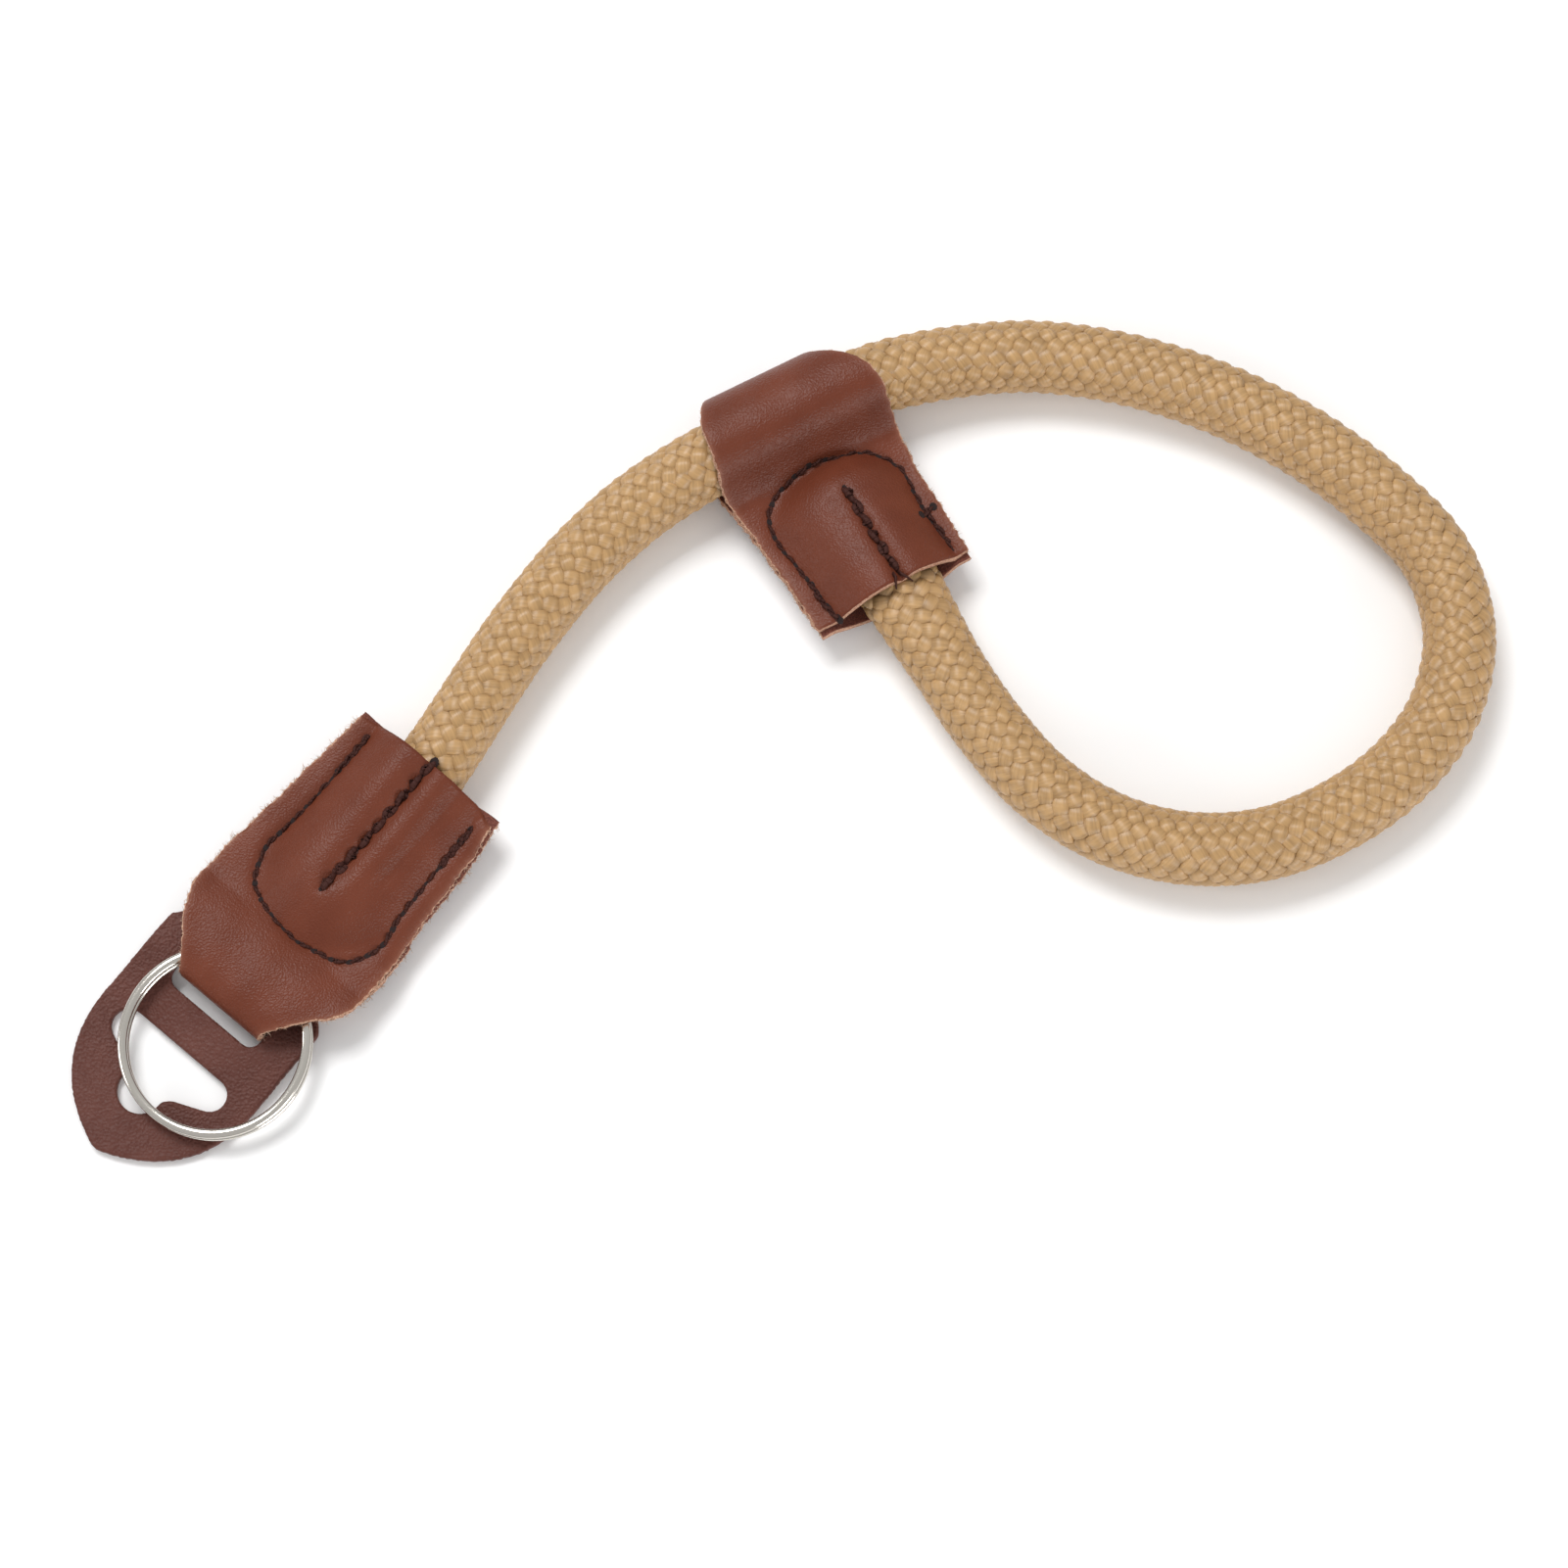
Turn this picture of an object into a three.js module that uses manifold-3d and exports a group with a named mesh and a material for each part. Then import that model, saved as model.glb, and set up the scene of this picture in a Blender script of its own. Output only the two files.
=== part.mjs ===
// Camera wrist strap, laid out on a flat surface.
//
// One length of braided rope forms the wrist loop and the lead. Both of its ends are sewn
// into folded leather: the slider, whose fold wraps the passing rope and closes the loop,
// and the ring tab, whose fold carries a split ring and a leather guard for the camera body.
//
// Millimetres and degrees. +Z is up and the surface is z = 0. +X runs along the strap from
// the guard to the far side of the wrist loop. The origin is the middle of the footprint.

import * as THREE from 'three';
import { mergeVertices } from 'three/addons/utils/BufferGeometryUtils.js';
import Module from 'manifold-3d';

const wasm = await Module();
wasm.setup();

// ---- Driving dimensions --------------------------------------------------------------

const CLEARANCE = 0.3;
const ROPE_DIAMETER = 10;
const ROPE_STEPS = 66;
const ROPE_SIDES = 12;

const STRIP_THICKNESS = 1.0;
const STRIP_STEP = 2.6;
const STRIP_LANES = 12;
const FOLD_STEPS = 8;
const STITCHED_HALF_GAP = (STRIP_THICKNESS + CLEARANCE) / 2;

const GUARD_THICKNESS = 1.2;
const GUARD_LIFT = 1.4;

const RING_OUTER_DIAMETER = 26;
const RING_WIRE_WIDTH = 1.5;
const RING_COIL_HEIGHT = 0.95;
const RING_COIL_GAP = 0.1;
const RING_CROSSOVER = 28;
const RING_STEPS = 88;
const RING_SIDES = 8;

// ---- The rope: a braided cord, its two ends pressed flat inside the leather ------------

// Centre line from the sewn end in the ring tab to the sewn end in the slider.
const ROPE_ROUTE = [
  [-64.5, -25, 4.05], [-61, -20.8, 4.1], [-54.5, -13.2, 4.5], [-48.1, -5.5, 5.1],
  [-43.8, 1.3, 5], [-40.5, 6.8, 5], [-37.1, 12.2, 5], [-33.4, 17.4, 5], [-29.4, 22.5, 5],
  [-25.1, 27.1, 5], [-20.5, 31.2, 5.2], [-15.7, 34.5, 5.7], [-10.7, 37.4, 6.3],
  [-0.1, 43.2, 6.5], [10.7, 48.7, 6.35], [16, 50.4, 5.8], [21.5, 51.7, 5.2],
  [32.2, 52.7, 5], [42.8, 51.5, 5], [53.1, 48.7, 5], [62.8, 44.5, 5], [71.8, 39, 5],
  [80.1, 32.2, 5], [87, 24.2, 5], [89.8, 13.9, 5], [87.6, 3.2, 5], [81.2, -5.6, 5],
  [72.5, -11.9, 5], [62.7, -15.7, 5], [52.3, -16.2, 5], [42.3, -13.5, 5], [33.6, -7.8, 5],
  [26.7, 0.1, 5], [20.8, 9.2, 5], [15, 19.2, 5.3], [10.8, 26.2, 4.7], [6.3, 34, 3.9],
];

// How the round section flattens towards a sewn end; "along" is measured from that end.
const TAB_END_SECTION = [
  { along: 0, halfWidth: 3.6, halfHeight: 0.9 },
  { along: 5.5, halfWidth: 6.4, halfHeight: 2.1 },
  { along: 15.5, halfWidth: 6.1, halfHeight: 2.8 },
  { along: 25.5, halfWidth: 5.3, halfHeight: 3.6 },
  { along: 35, halfWidth: 5, halfHeight: 5 },
];
const SLIDER_END_SECTION = [
  { along: 0, halfWidth: 4.4, halfHeight: 1.3 },
  { along: 5, halfWidth: 6.2, halfHeight: 2.3 },
  { along: 12, halfWidth: 6.2, halfHeight: 3.2 },
  { along: 17.5, halfWidth: 6, halfHeight: 3.85 },
  { along: 20.5, halfWidth: 5.7, halfHeight: 4.2 },
  { along: 30, halfWidth: 5, halfHeight: 5 },
];

// ---- The two folded leather strips -----------------------------------------------------

// s runs from the mouth, where the rope enters, towards the fold; v runs across, to the left.
// "middle" is the height midway between the leaves, "half" is half the distance between
// them along the sewn edges, and "bulge" is what the rope end adds to it in the pocket.
const RING_TAB = {
  mouth: [-48.1, -5.5],
  heading: -130,
  crest: 41.5,
  foldPower: 0.72,
  foldSkew: 0,
  lowerNeck: 3,
  upperOverhang: 0,
  lowerOverhang: 0.5,
  pocket: { left: 9.9, right: 9, arcStart: 20, arcEnd: 28.9 },
  centreSeam: { from: 0, to: 21.5, depth: 0.6 },
  leaves: [
    { s: -2, middle: 5.4, half: STITCHED_HALF_GAP, bulge: 4.25 },
    { s: 0, middle: 5.3, half: STITCHED_HALF_GAP, bulge: 4.15 },
    { s: 10, middle: 4.8, half: STITCHED_HALF_GAP, bulge: 3.6 },
    { s: 20, middle: 4.35, half: STITCHED_HALF_GAP, bulge: 3 },
    { s: 25, middle: 4.2, half: STITCHED_HALF_GAP, bulge: 2.5 },
    { s: 28.9, middle: 4.2, half: STITCHED_HALF_GAP + 0.05, bulge: 2 },
    { s: 30.6, middle: 3.45, half: 1.95, bulge: 0 },
    { s: 32, middle: 3.25, half: 2.6, bulge: 0 },
    { s: 33.5, middle: 3.33, half: 2.83, bulge: 0 },
    { s: 36.5, middle: 3.42, half: 2.92, bulge: 0 },
  ],
  outline: [
    { s: -2, left: 11.2, right: 11.2 },
    { s: 0, left: 11.4, right: 11.4 },
    { s: 6.5, left: 12.2, right: 12 },
    { s: 19.5, left: 13, right: 13.1 },
    { s: 27, left: 13.8, right: 13.8 },
    { s: 31, left: 13.7, right: 13.8 },
    { s: 33.2, left: 12.8, right: 13 },
    { s: 36, left: 10.5, right: 11.3 },
    { s: 40, left: 7.4, right: 8.2 },
    { s: 42, left: 5.9, right: 6.7 },
  ],
};
const SLIDER = {
  mouth: [14.4, 19.2],
  heading: 120,
  crest: 34.8,
  foldPower: 1,
  foldSkew: 0.052,
  lowerNeck: 0,
  upperOverhang: 0,
  lowerOverhang: 0.9,
  pocket: { left: 10.2, right: 9.2, arcStart: 13.5, arcEnd: 21 },
  centreSeam: { from: 0, to: 15, depth: 0.5 },
  leaves: [
    { s: -3, middle: 5.8, half: STITCHED_HALF_GAP, bulge: 4.65 },
    { s: 0, middle: 5.6, half: STITCHED_HALF_GAP, bulge: 4.45 },
    { s: 8, middle: 5.1, half: STITCHED_HALF_GAP, bulge: 3.95 },
    { s: 14, middle: 4.7, half: STITCHED_HALF_GAP, bulge: 3.55 },
    { s: 19, middle: 4.8, half: STITCHED_HALF_GAP, bulge: 3 },
    { s: 20.8, middle: 5.2, half: 0.85, bulge: 0 },
    { s: 22.4, middle: 5.9, half: 2.8, bulge: 0 },
    { s: 24.2, middle: 6.4, half: 4.9, bulge: 0 },
    { s: 26, middle: 6.55, half: 5.9, bulge: 0 },
    { s: 28, middle: 6.55, half: 6.05, bulge: 0 },
  ],
  outline: [
    { s: -3, left: 11.8, right: 10.9 },
    { s: 0, left: 12, right: 10.9 },
    { s: 8.5, left: 12.3, right: 10.9 },
    { s: 16.4, left: 13, right: 11 },
    { s: 22, left: 13.8, right: 11.6 },
    { s: 26, left: 13.1, right: 11.8 },
    { s: 30, left: 12.4, right: 10.6 },
    { s: 32.7, left: 11.1, right: 7.8 },
    { s: 35.6, left: 8.6, right: 3.6 },
  ],
};

// ---- The camera guard, in the ring tab's own s and v -----------------------------------

const GUARD = {
  centreV: -1,
  halfWidth: 13,
  top: 33.4,
  topHalfWidth: 10.2,
  shoulder: 36.4,
  sidesEnd: 49.5,
  curveControl: 61.8,
  tip: 66.3,
  tipHalfWidth: 0.5,
};
const SLIT = { near: 38.6, far: 43.6, halfLength: 7.6, cornerRadius: 1.6 };
const KEYHOLE = {
  near: 49.1,
  lobeRadius: 2.25,
  leftLobeV: 7,
  rightLobeV: -7.55,
  neckS: 55.2,
  leftNeckV: 3.6,
  rightNeckV: -4.3,
  bulbRadius: 3.15,
  bulbS: 56.75,
  bulbV: -0.45,
  bulbStartS: 56.2,
};
// Underside of the guard: raised where the tab passes beneath it, flat from there on.
const GUARD_UNDERSIDE = [
  { s: 32, z: GUARD_LIFT },
  { s: 40, z: GUARD_LIFT },
  { s: 43, z: 1.02 },
  { s: 46, z: 0.52 },
  { s: 49, z: 0.14 },
  { s: 51.5, z: 0 },
  { s: 68, z: 0 },
];

// ---- The split ring, in the ring tab's own s and v -------------------------------------

const RING_CENTRE = { s: 45.8, v: 2.3, z: 3.48 };
const RING_TILT = 4;
const RING_START = 200;

// ---- Shared geometry helpers -----------------------------------------------------------

const radians = THREE.MathUtils.degToRad;

// A value from a table with rows in order of "key", on a smooth curve through every row.
function between(rows, key, name, at) {
  const last = rows.length - 1;
  let i = 0;
  while (i < last - 1 && at > rows[i + 1][key]) {
    i += 1;
  }
  const slope = (k) => {
    const a = rows[Math.max(k - 1, 0)];
    const b = rows[Math.min(k + 1, last)];
    return (b[name] - a[name]) / (b[key] - a[key]);
  };
  const span = rows[i + 1][key] - rows[i][key];
  const t = THREE.MathUtils.clamp((at - rows[i][key]) / span, 0, 1);
  const start = rows[i][name];
  const end = rows[i + 1][name];
  const rise = t * t * (3 - 2 * t);
  const startPull = t * (1 - t) * (1 - t) * span * slope(i);
  const endPull = t * t * (1 - t) * span * slope(i + 1);
  return start + (end - start) * rise + startPull - endPull;
}

// A closed body from a row of rings of points, each ring counter-clockwise seen from ahead.
function loft(rings, cap) {
  const sides = rings[0].length;
  const positions = rings.flat().flatMap((point) => point.toArray());
  const triangles = [];
  for (let i = 0; i < rings.length - 1; i += 1) {
    for (let j = 0; j < sides; j += 1) {
      const a = i * sides + j;
      const b = i * sides + ((j + 1) % sides);
      triangles.push(a, b, b + sides, a, b + sides, a + sides);
    }
  }
  const front = (rings.length - 1) * sides;
  cap(sides).forEach(([a, b, c]) => {
    triangles.push(a, c, b, front + a, front + b, front + c);
  });
  return asGeometry(positions, triangles);
}

// Closes a rounded ring with a fan.
function fanCap(sides) {
  const triangles = [];
  for (let j = 1; j < sides - 1; j += 1) {
    triangles.push([0, j, j + 1]);
  }
  return triangles;
}

// Closes a flat, curved ring lane by lane, so that its end keeps the curve.
function laneCap(sides) {
  const triangles = [];
  for (let j = 0; j < sides / 2 - 1; j += 1) {
    const across = sides - 1 - j;
    triangles.push([j, j + 1, across], [j + 1, across - 1, across]);
  }
  return triangles;
}

function asGeometry(positions, triangles) {
  const geometry = new THREE.BufferGeometry();
  geometry.setAttribute('position', new THREE.Float32BufferAttribute(positions, 3));
  geometry.setIndex(triangles);
  return geometry;
}

function solidOf(geometry) {
  const bare = geometry.clone();
  bare.deleteAttribute('normal');
  bare.deleteAttribute('uv');
  const merged = mergeVertices(bare, 1e-4);
  return new wasm.Manifold(new wasm.Mesh({
    numProp: 3,
    vertProperties: merged.attributes.position.array,
    triVerts: new Uint32Array(merged.index.array),
  }));
}

function geometryOf(solid) {
  const mesh = solid.getMesh();
  return asGeometry(Array.from(mesh.vertProperties), Array.from(mesh.triVerts));
}

function piece(name, geometry, look) {
  geometry.computeVertexNormals();
  const mesh = new THREE.Mesh(geometry, new THREE.MeshStandardMaterial(look));
  mesh.name = name;
  return mesh;
}

// ---- Rope ------------------------------------------------------------------------------

function makeRope() {
  const corners = ROPE_ROUTE.map((point) => new THREE.Vector3(...point));
  const route = new THREE.CatmullRomCurve3(corners, false, 'centripetal');
  const length = route.getLength();
  const up = new THREE.Vector3(0, 0, 1);
  const round = ROPE_DIAMETER / 2;
  const rings = [];
  for (let i = 0; i <= ROPE_STEPS; i += 1) {
    const along = (length * i) / ROPE_STEPS;
    const fromSlider = length - along;
    const centre = route.getPointAt(i / ROPE_STEPS);
    const forward = route.getTangentAt(i / ROPE_STEPS);
    const side = new THREE.Vector3().crossVectors(forward, up).normalize();
    const lift = new THREE.Vector3().crossVectors(side, forward).normalize();
    const size = (name) => {
      if (along < TAB_END_SECTION.at(-1).along) {
        return between(TAB_END_SECTION, 'along', name, along);
      }
      if (fromSlider < SLIDER_END_SECTION.at(-1).along) {
        return between(SLIDER_END_SECTION, 'along', name, fromSlider);
      }
      return round;
    };
    centre.z = Math.max(centre.z, size('halfHeight'));
    const ring = [];
    for (let j = 0; j < ROPE_SIDES; j += 1) {
      const angle = (2 * Math.PI * j) / ROPE_SIDES;
      const point = centre.clone();
      point.addScaledVector(side, size('halfWidth') * Math.cos(angle));
      point.addScaledVector(lift, -size('halfHeight') * Math.sin(angle));
      ring.push(point);
    }
    rings.push(ring);
  }
  return loft(rings, fanCap);
}

// ---- Folded leather strips -------------------------------------------------------------

// How full the pocket is at a place, from 1 in the middle to 0 along the sewn seam.
function fullness(strip, s, v) {
  const { left, right, arcStart, arcEnd } = strip.pocket;
  const across = v / (v > 0 ? left : right);
  const past = Math.max(0, s - arcStart) / (arcEnd - arcStart);
  const reach = Math.min(1, Math.hypot(across, past));
  return (1 - reach ** 2.6) ** 1.4;
}

// The groove that the centre seam pulls into the upper leaf.
function groove(strip, s, v) {
  const { from, to, depth } = strip.centreSeam;
  const inside = s >= from - 1 && s <= to;
  return inside ? depth * Math.exp(-((v / 1.2) ** 2)) : 0;
}

function leafPoint(strip, s, v, side) {
  const middle = between(strip.leaves, 's', 'middle', s);
  const half = between(strip.leaves, 's', 'half', s);
  const bulge = between(strip.leaves, 's', 'bulge', s) * fullness(strip, s, v);
  const dip = side > 0 ? groove(strip, s, v) : 0;
  const z = middle + side * (half + bulge) - dip;
  return new THREE.Vector3(s, v, Math.max(z, STRIP_THICKNESS / 2));
}

// The strip's own middle surface: the lower leaf, the fold, then the upper leaf.
function stripRows(strip) {
  const foldStart = strip.leaves.at(-1).s;
  const { middle, half } = strip.leaves.at(-1);
  const lowerSteps = Math.round((foldStart + strip.lowerOverhang) / STRIP_STEP);
  const upperSteps = Math.round((foldStart + strip.upperOverhang) / STRIP_STEP);
  const stations = [];
  for (let i = 0; i < lowerSteps; i += 1) {
    const s = THREE.MathUtils.lerp(-strip.lowerOverhang, foldStart, i / lowerSteps);
    stations.push({ s, side: -1 });
  }
  for (let i = 0; i <= FOLD_STEPS; i += 1) {
    const turn = (Math.PI * i) / FOLD_STEPS;
    const reach = Math.sin(turn) ** strip.foldPower;
    const rise = -Math.sign(Math.cos(turn)) * Math.abs(Math.cos(turn)) ** strip.foldPower;
    const s = foldStart + (strip.crest - foldStart) * reach;
    stations.push({ s, side: rise < 0 ? -1 : 1, z: middle + half * rise });
  }
  for (let i = 1; i <= upperSteps; i += 1) {
    const s = THREE.MathUtils.lerp(foldStart, -strip.upperOverhang, i / upperSteps);
    stations.push({ s, side: 1 });
  }
  return stations.map((station) => stripRow(strip, foldStart, station));
}

// One row of points across the strip, square to it except where the fold runs askew.
function stripRow(strip, foldStart, { s, side, z }) {
  const outlineS = side < 0 ? Math.min(s + strip.lowerNeck, strip.crest) : s;
  const left = between(strip.outline, 's', 'left', outlineS);
  const right = between(strip.outline, 's', 'right', outlineS);
  const skewing = THREE.MathUtils.smoothstep(s, strip.pocket.arcStart, foldStart);
  const row = [];
  for (let j = 0; j <= STRIP_LANES; j += 1) {
    const v = THREE.MathUtils.lerp(-right, left, j / STRIP_LANES);
    const point = z === undefined ? leafPoint(strip, s, v, side) : new THREE.Vector3(s, v, z);
    point.x += strip.foldSkew * skewing * v;
    row.push(point);
  }
  return row;
}

// Gives the middle surface its thickness, square to the surface at every point.
function makeStrip(strip) {
  const rows = stripRows(strip);
  const last = rows.length - 1;
  const normalAt = (i, j) => {
    const ahead = rows[Math.min(i + 1, last)][j];
    const behind = rows[Math.max(i - 1, 0)][j];
    const left = rows[i][Math.min(j + 1, STRIP_LANES)];
    const right = rows[i][Math.max(j - 1, 0)];
    const along = new THREE.Vector3().subVectors(ahead, behind);
    const across = new THREE.Vector3().subVectors(left, right);
    return along.cross(across).normalize();
  };
  const rings = rows.map((row, i) => {
    const inner = [];
    const outer = [];
    row.forEach((point, j) => {
      const normal = normalAt(i, j);
      inner.push(point.clone().addScaledVector(normal, STRIP_THICKNESS / 2));
      outer.push(point.clone().addScaledVector(normal, -STRIP_THICKNESS / 2));
    });
    return [...outer, ...inner.reverse()];
  });
  return loft(rings, laneCap);
}

// ---- Camera guard ----------------------------------------------------------------------

function guardOutline() {
  const mid = GUARD.centreV;
  const wide = GUARD.halfWidth;
  const shape = new THREE.Shape();
  shape.moveTo(GUARD.top, mid - GUARD.topHalfWidth);
  shape.lineTo(GUARD.shoulder, mid - wide);
  shape.lineTo(GUARD.sidesEnd, mid - wide);
  shape.quadraticCurveTo(GUARD.curveControl, mid - wide, GUARD.tip, mid - GUARD.tipHalfWidth);
  shape.lineTo(GUARD.tip, mid + GUARD.tipHalfWidth);
  shape.quadraticCurveTo(GUARD.curveControl, mid + wide, GUARD.sidesEnd, mid + wide);
  shape.lineTo(GUARD.shoulder, mid + wide);
  shape.lineTo(GUARD.top, mid + GUARD.topHalfWidth);
  shape.holes.push(slitPath(), keyholePath());
  return shape;
}

// The slot that the ring tab's fold is threaded through.
function slitPath() {
  const { near, far, halfLength, cornerRadius } = SLIT;
  const low = GUARD.centreV - halfLength;
  const high = GUARD.centreV + halfLength;
  const path = new THREE.Path();
  path.moveTo(near, low);
  path.lineTo(near, high);
  path.lineTo(far - cornerRadius, high);
  path.absarc(far - cornerRadius, high - cornerRadius, cornerRadius, Math.PI / 2, 0, true);
  path.lineTo(far, low + cornerRadius);
  path.absarc(far - cornerRadius, low + cornerRadius, cornerRadius, 0, -Math.PI / 2, true);
  return path;
}

// The mushroom-shaped hole that goes over the camera's strap lug.
function keyholePath() {
  const mid = GUARD.centreV;
  const { near, lobeRadius, leftLobeV, rightLobeV, neckS, leftNeckV, rightNeckV } = KEYHOLE;
  const { bulbRadius, bulbS, bulbV, bulbStartS } = KEYHOLE;
  const lobeS = near + lobeRadius;
  const bulbTurn = Math.acos((bulbStartS - bulbS) / bulbRadius);
  const lobeTurn = radians(24);
  const path = new THREE.Path();
  path.absarc(lobeS, mid + rightLobeV, lobeRadius, Math.PI, Math.PI * 2 - lobeTurn, false);
  path.lineTo(neckS, mid + rightNeckV);
  path.absarc(bulbS, mid + bulbV, bulbRadius, -bulbTurn, bulbTurn, false);
  path.lineTo(neckS, mid + leftNeckV);
  path.absarc(lobeS, mid + leftLobeV, lobeRadius, lobeTurn, Math.PI, false);
  return path;
}

function makeGuard() {
  const tall = new THREE.ExtrudeGeometry(guardOutline(), {
    depth: 10,
    bevelEnabled: false,
    curveSegments: 9,
  });
  tall.translate(0, 0, -2);
  const side = new THREE.Shape();
  const under = GUARD_UNDERSIDE;
  side.moveTo(under[0].s, under[0].z);
  under.slice(1).forEach(({ s, z }) => side.lineTo(s, z));
  [...under].reverse().forEach(({ s, z }) => side.lineTo(s, z + GUARD_THICKNESS));
  const width = 2 * (GUARD.halfWidth + 2);
  const sheet = new THREE.ExtrudeGeometry(side, { depth: width, bevelEnabled: false });
  sheet.rotateX(Math.PI / 2);
  sheet.translate(0, GUARD.centreV + width / 2, 0);
  return geometryOf(solidOf(tall).intersect(solidOf(sheet)));
}

// ---- Split ring ------------------------------------------------------------------------

// One wire wound twice: the lower coil, a crossover, then the upper coil.
function makeRing() {
  const radius = (RING_OUTER_DIAMETER - RING_WIRE_WIDTH) / 2;
  const rise = RING_COIL_HEIGHT + RING_COIL_GAP;
  const wholeTurn = 720 - RING_CROSSOVER;
  const rings = [];
  for (let i = 0; i <= RING_STEPS; i += 1) {
    const turned = (wholeTurn * i) / RING_STEPS;
    const crossing = (turned - (360 - RING_CROSSOVER)) / RING_CROSSOVER;
    const z = rise * (THREE.MathUtils.smoothstep(crossing, 0, 1) - 0.5);
    const angle = radians(RING_START + turned);
    const ring = [];
    for (let j = 0; j < RING_SIDES; j += 1) {
      const around = (2 * Math.PI * (j + 0.5)) / RING_SIDES;
      const out = radius + flatSided(Math.cos(around)) * (RING_WIRE_WIDTH / 2);
      const lift = z + flatSided(Math.sin(around)) * (RING_COIL_HEIGHT / 2);
      ring.push(new THREE.Vector3(out * Math.cos(angle), out * Math.sin(angle), lift));
    }
    rings.push(ring.reverse());
  }
  return loft(rings, fanCap);
}

// Squares up a round wire's section, as rolled ring wire is.
function flatSided(value) {
  return Math.sign(value) * Math.min(1, Math.abs(value) ** 0.7 * 1.06);
}

// ---- Assembly --------------------------------------------------------------------------

const ROPE_LOOK = { color: 0xbc9a73, roughness: 0.6, metalness: 0 };
const STRIP_LOOK = { color: 0x714438, roughness: 0.5, metalness: 0 };
const GUARD_LOOK = { color: 0x5f3d38, roughness: 0.6, metalness: 0 };
const RING_LOOK = { color: 0xc9c4ba, roughness: 0.2, metalness: 1 };

function leatherFrame(strip) {
  const frame = new THREE.Group();
  frame.position.set(strip.mouth[0], strip.mouth[1], 0);
  frame.rotation.z = radians(strip.heading);
  return frame;
}

const tabFrame = leatherFrame(RING_TAB);
tabFrame.add(piece('ring_tab', makeStrip(RING_TAB), STRIP_LOOK));
tabFrame.add(piece('camera_guard', makeGuard(), GUARD_LOOK));

const splitRing = piece('split_ring', makeRing(), RING_LOOK);
splitRing.position.set(RING_CENTRE.s, RING_CENTRE.v, RING_CENTRE.z);
splitRing.rotation.y = radians(RING_TILT);
tabFrame.add(splitRing);

const sliderFrame = leatherFrame(SLIDER);
sliderFrame.add(piece('slider', makeStrip(SLIDER), STRIP_LOOK));

const strap = new THREE.Group();
strap.add(piece('rope', makeRope(), ROPE_LOOK));
strap.add(tabFrame);
strap.add(sliderFrame);

export default strap;
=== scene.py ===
import math

import bpy
import numpy as np
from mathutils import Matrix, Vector
from mathutils.geometry import delaunay_2d_cdt


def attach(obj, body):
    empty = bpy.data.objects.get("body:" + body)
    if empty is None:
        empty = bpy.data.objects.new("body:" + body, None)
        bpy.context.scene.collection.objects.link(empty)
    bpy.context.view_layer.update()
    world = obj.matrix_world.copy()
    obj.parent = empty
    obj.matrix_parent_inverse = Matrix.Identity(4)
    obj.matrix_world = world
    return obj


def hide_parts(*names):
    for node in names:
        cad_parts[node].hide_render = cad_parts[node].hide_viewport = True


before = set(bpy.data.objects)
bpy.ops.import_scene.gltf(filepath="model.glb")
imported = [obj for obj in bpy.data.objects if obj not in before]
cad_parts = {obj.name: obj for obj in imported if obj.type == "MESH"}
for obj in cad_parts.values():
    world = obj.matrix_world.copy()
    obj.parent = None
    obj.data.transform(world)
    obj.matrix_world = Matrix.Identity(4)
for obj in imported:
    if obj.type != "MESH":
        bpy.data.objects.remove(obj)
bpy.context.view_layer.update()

# ---- Table and studio lights ---------------------------------------------------------------
# The strap lies on a pale matt table in a white room, under three soft panels: a large one
# overhead and behind, a low one at the front right, and a small one low on the left.

MM = 0.001
WALLS_DIM_TO = 0.02  # shares of the way up the room: dim below, bright above
WALLS_BRIGHT_FROM = 0.45


def new_material(name, colour=(0.8, 0.8, 0.8), roughness=0.5):
    material = bpy.data.materials.new(name)
    material.use_nodes = True
    shader = material.node_tree.nodes["Principled BSDF"]
    shader.inputs["Base Color"].default_value = (*colour, 1)
    shader.inputs["Roughness"].default_value = roughness
    return material, material.node_tree, shader


def two_tone(tree, low, dark, high, light):
    """A colour that runs from dark, where its input is low, to light, where it is high."""
    tone = tree.nodes.new("ShaderNodeValToRGB")
    for stop, (position, colour) in enumerate(((low, dark), (high, light))):
        tone.color_ramp.elements[stop].position = position
        tone.color_ramp.elements[stop].color = (*colour, 1)
    return tone


def put_in_scene(name, data):
    thing = bpy.data.objects.new(name, data)
    bpy.context.collection.objects.link(thing)
    return thing


def lay_table(half_side, colour):
    mesh = bpy.data.meshes.new("table_top")
    corners = [(-1, -1), (1, -1), (1, 1), (-1, 1)]
    mesh.from_pydata([(x * half_side, y * half_side, -0.0002) for x, y in corners],
                     [], [(0, 1, 2, 3)])
    mesh.materials.append(new_material("pale_table", colour, 0.9)[0])
    table = put_in_scene("table_top", mesh)


def hang_softbox(name, place, size, power):
    light = bpy.data.lights.new(name, "AREA")
    light.shape = "RECTANGLE"
    light.size, light.size_y = size
    light.energy = power
    lamp = put_in_scene(name, light)
    lamp.location = place
    lamp.rotation_euler = (-Vector(place)).to_track_quat("-Z", "Y").to_euler()


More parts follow.
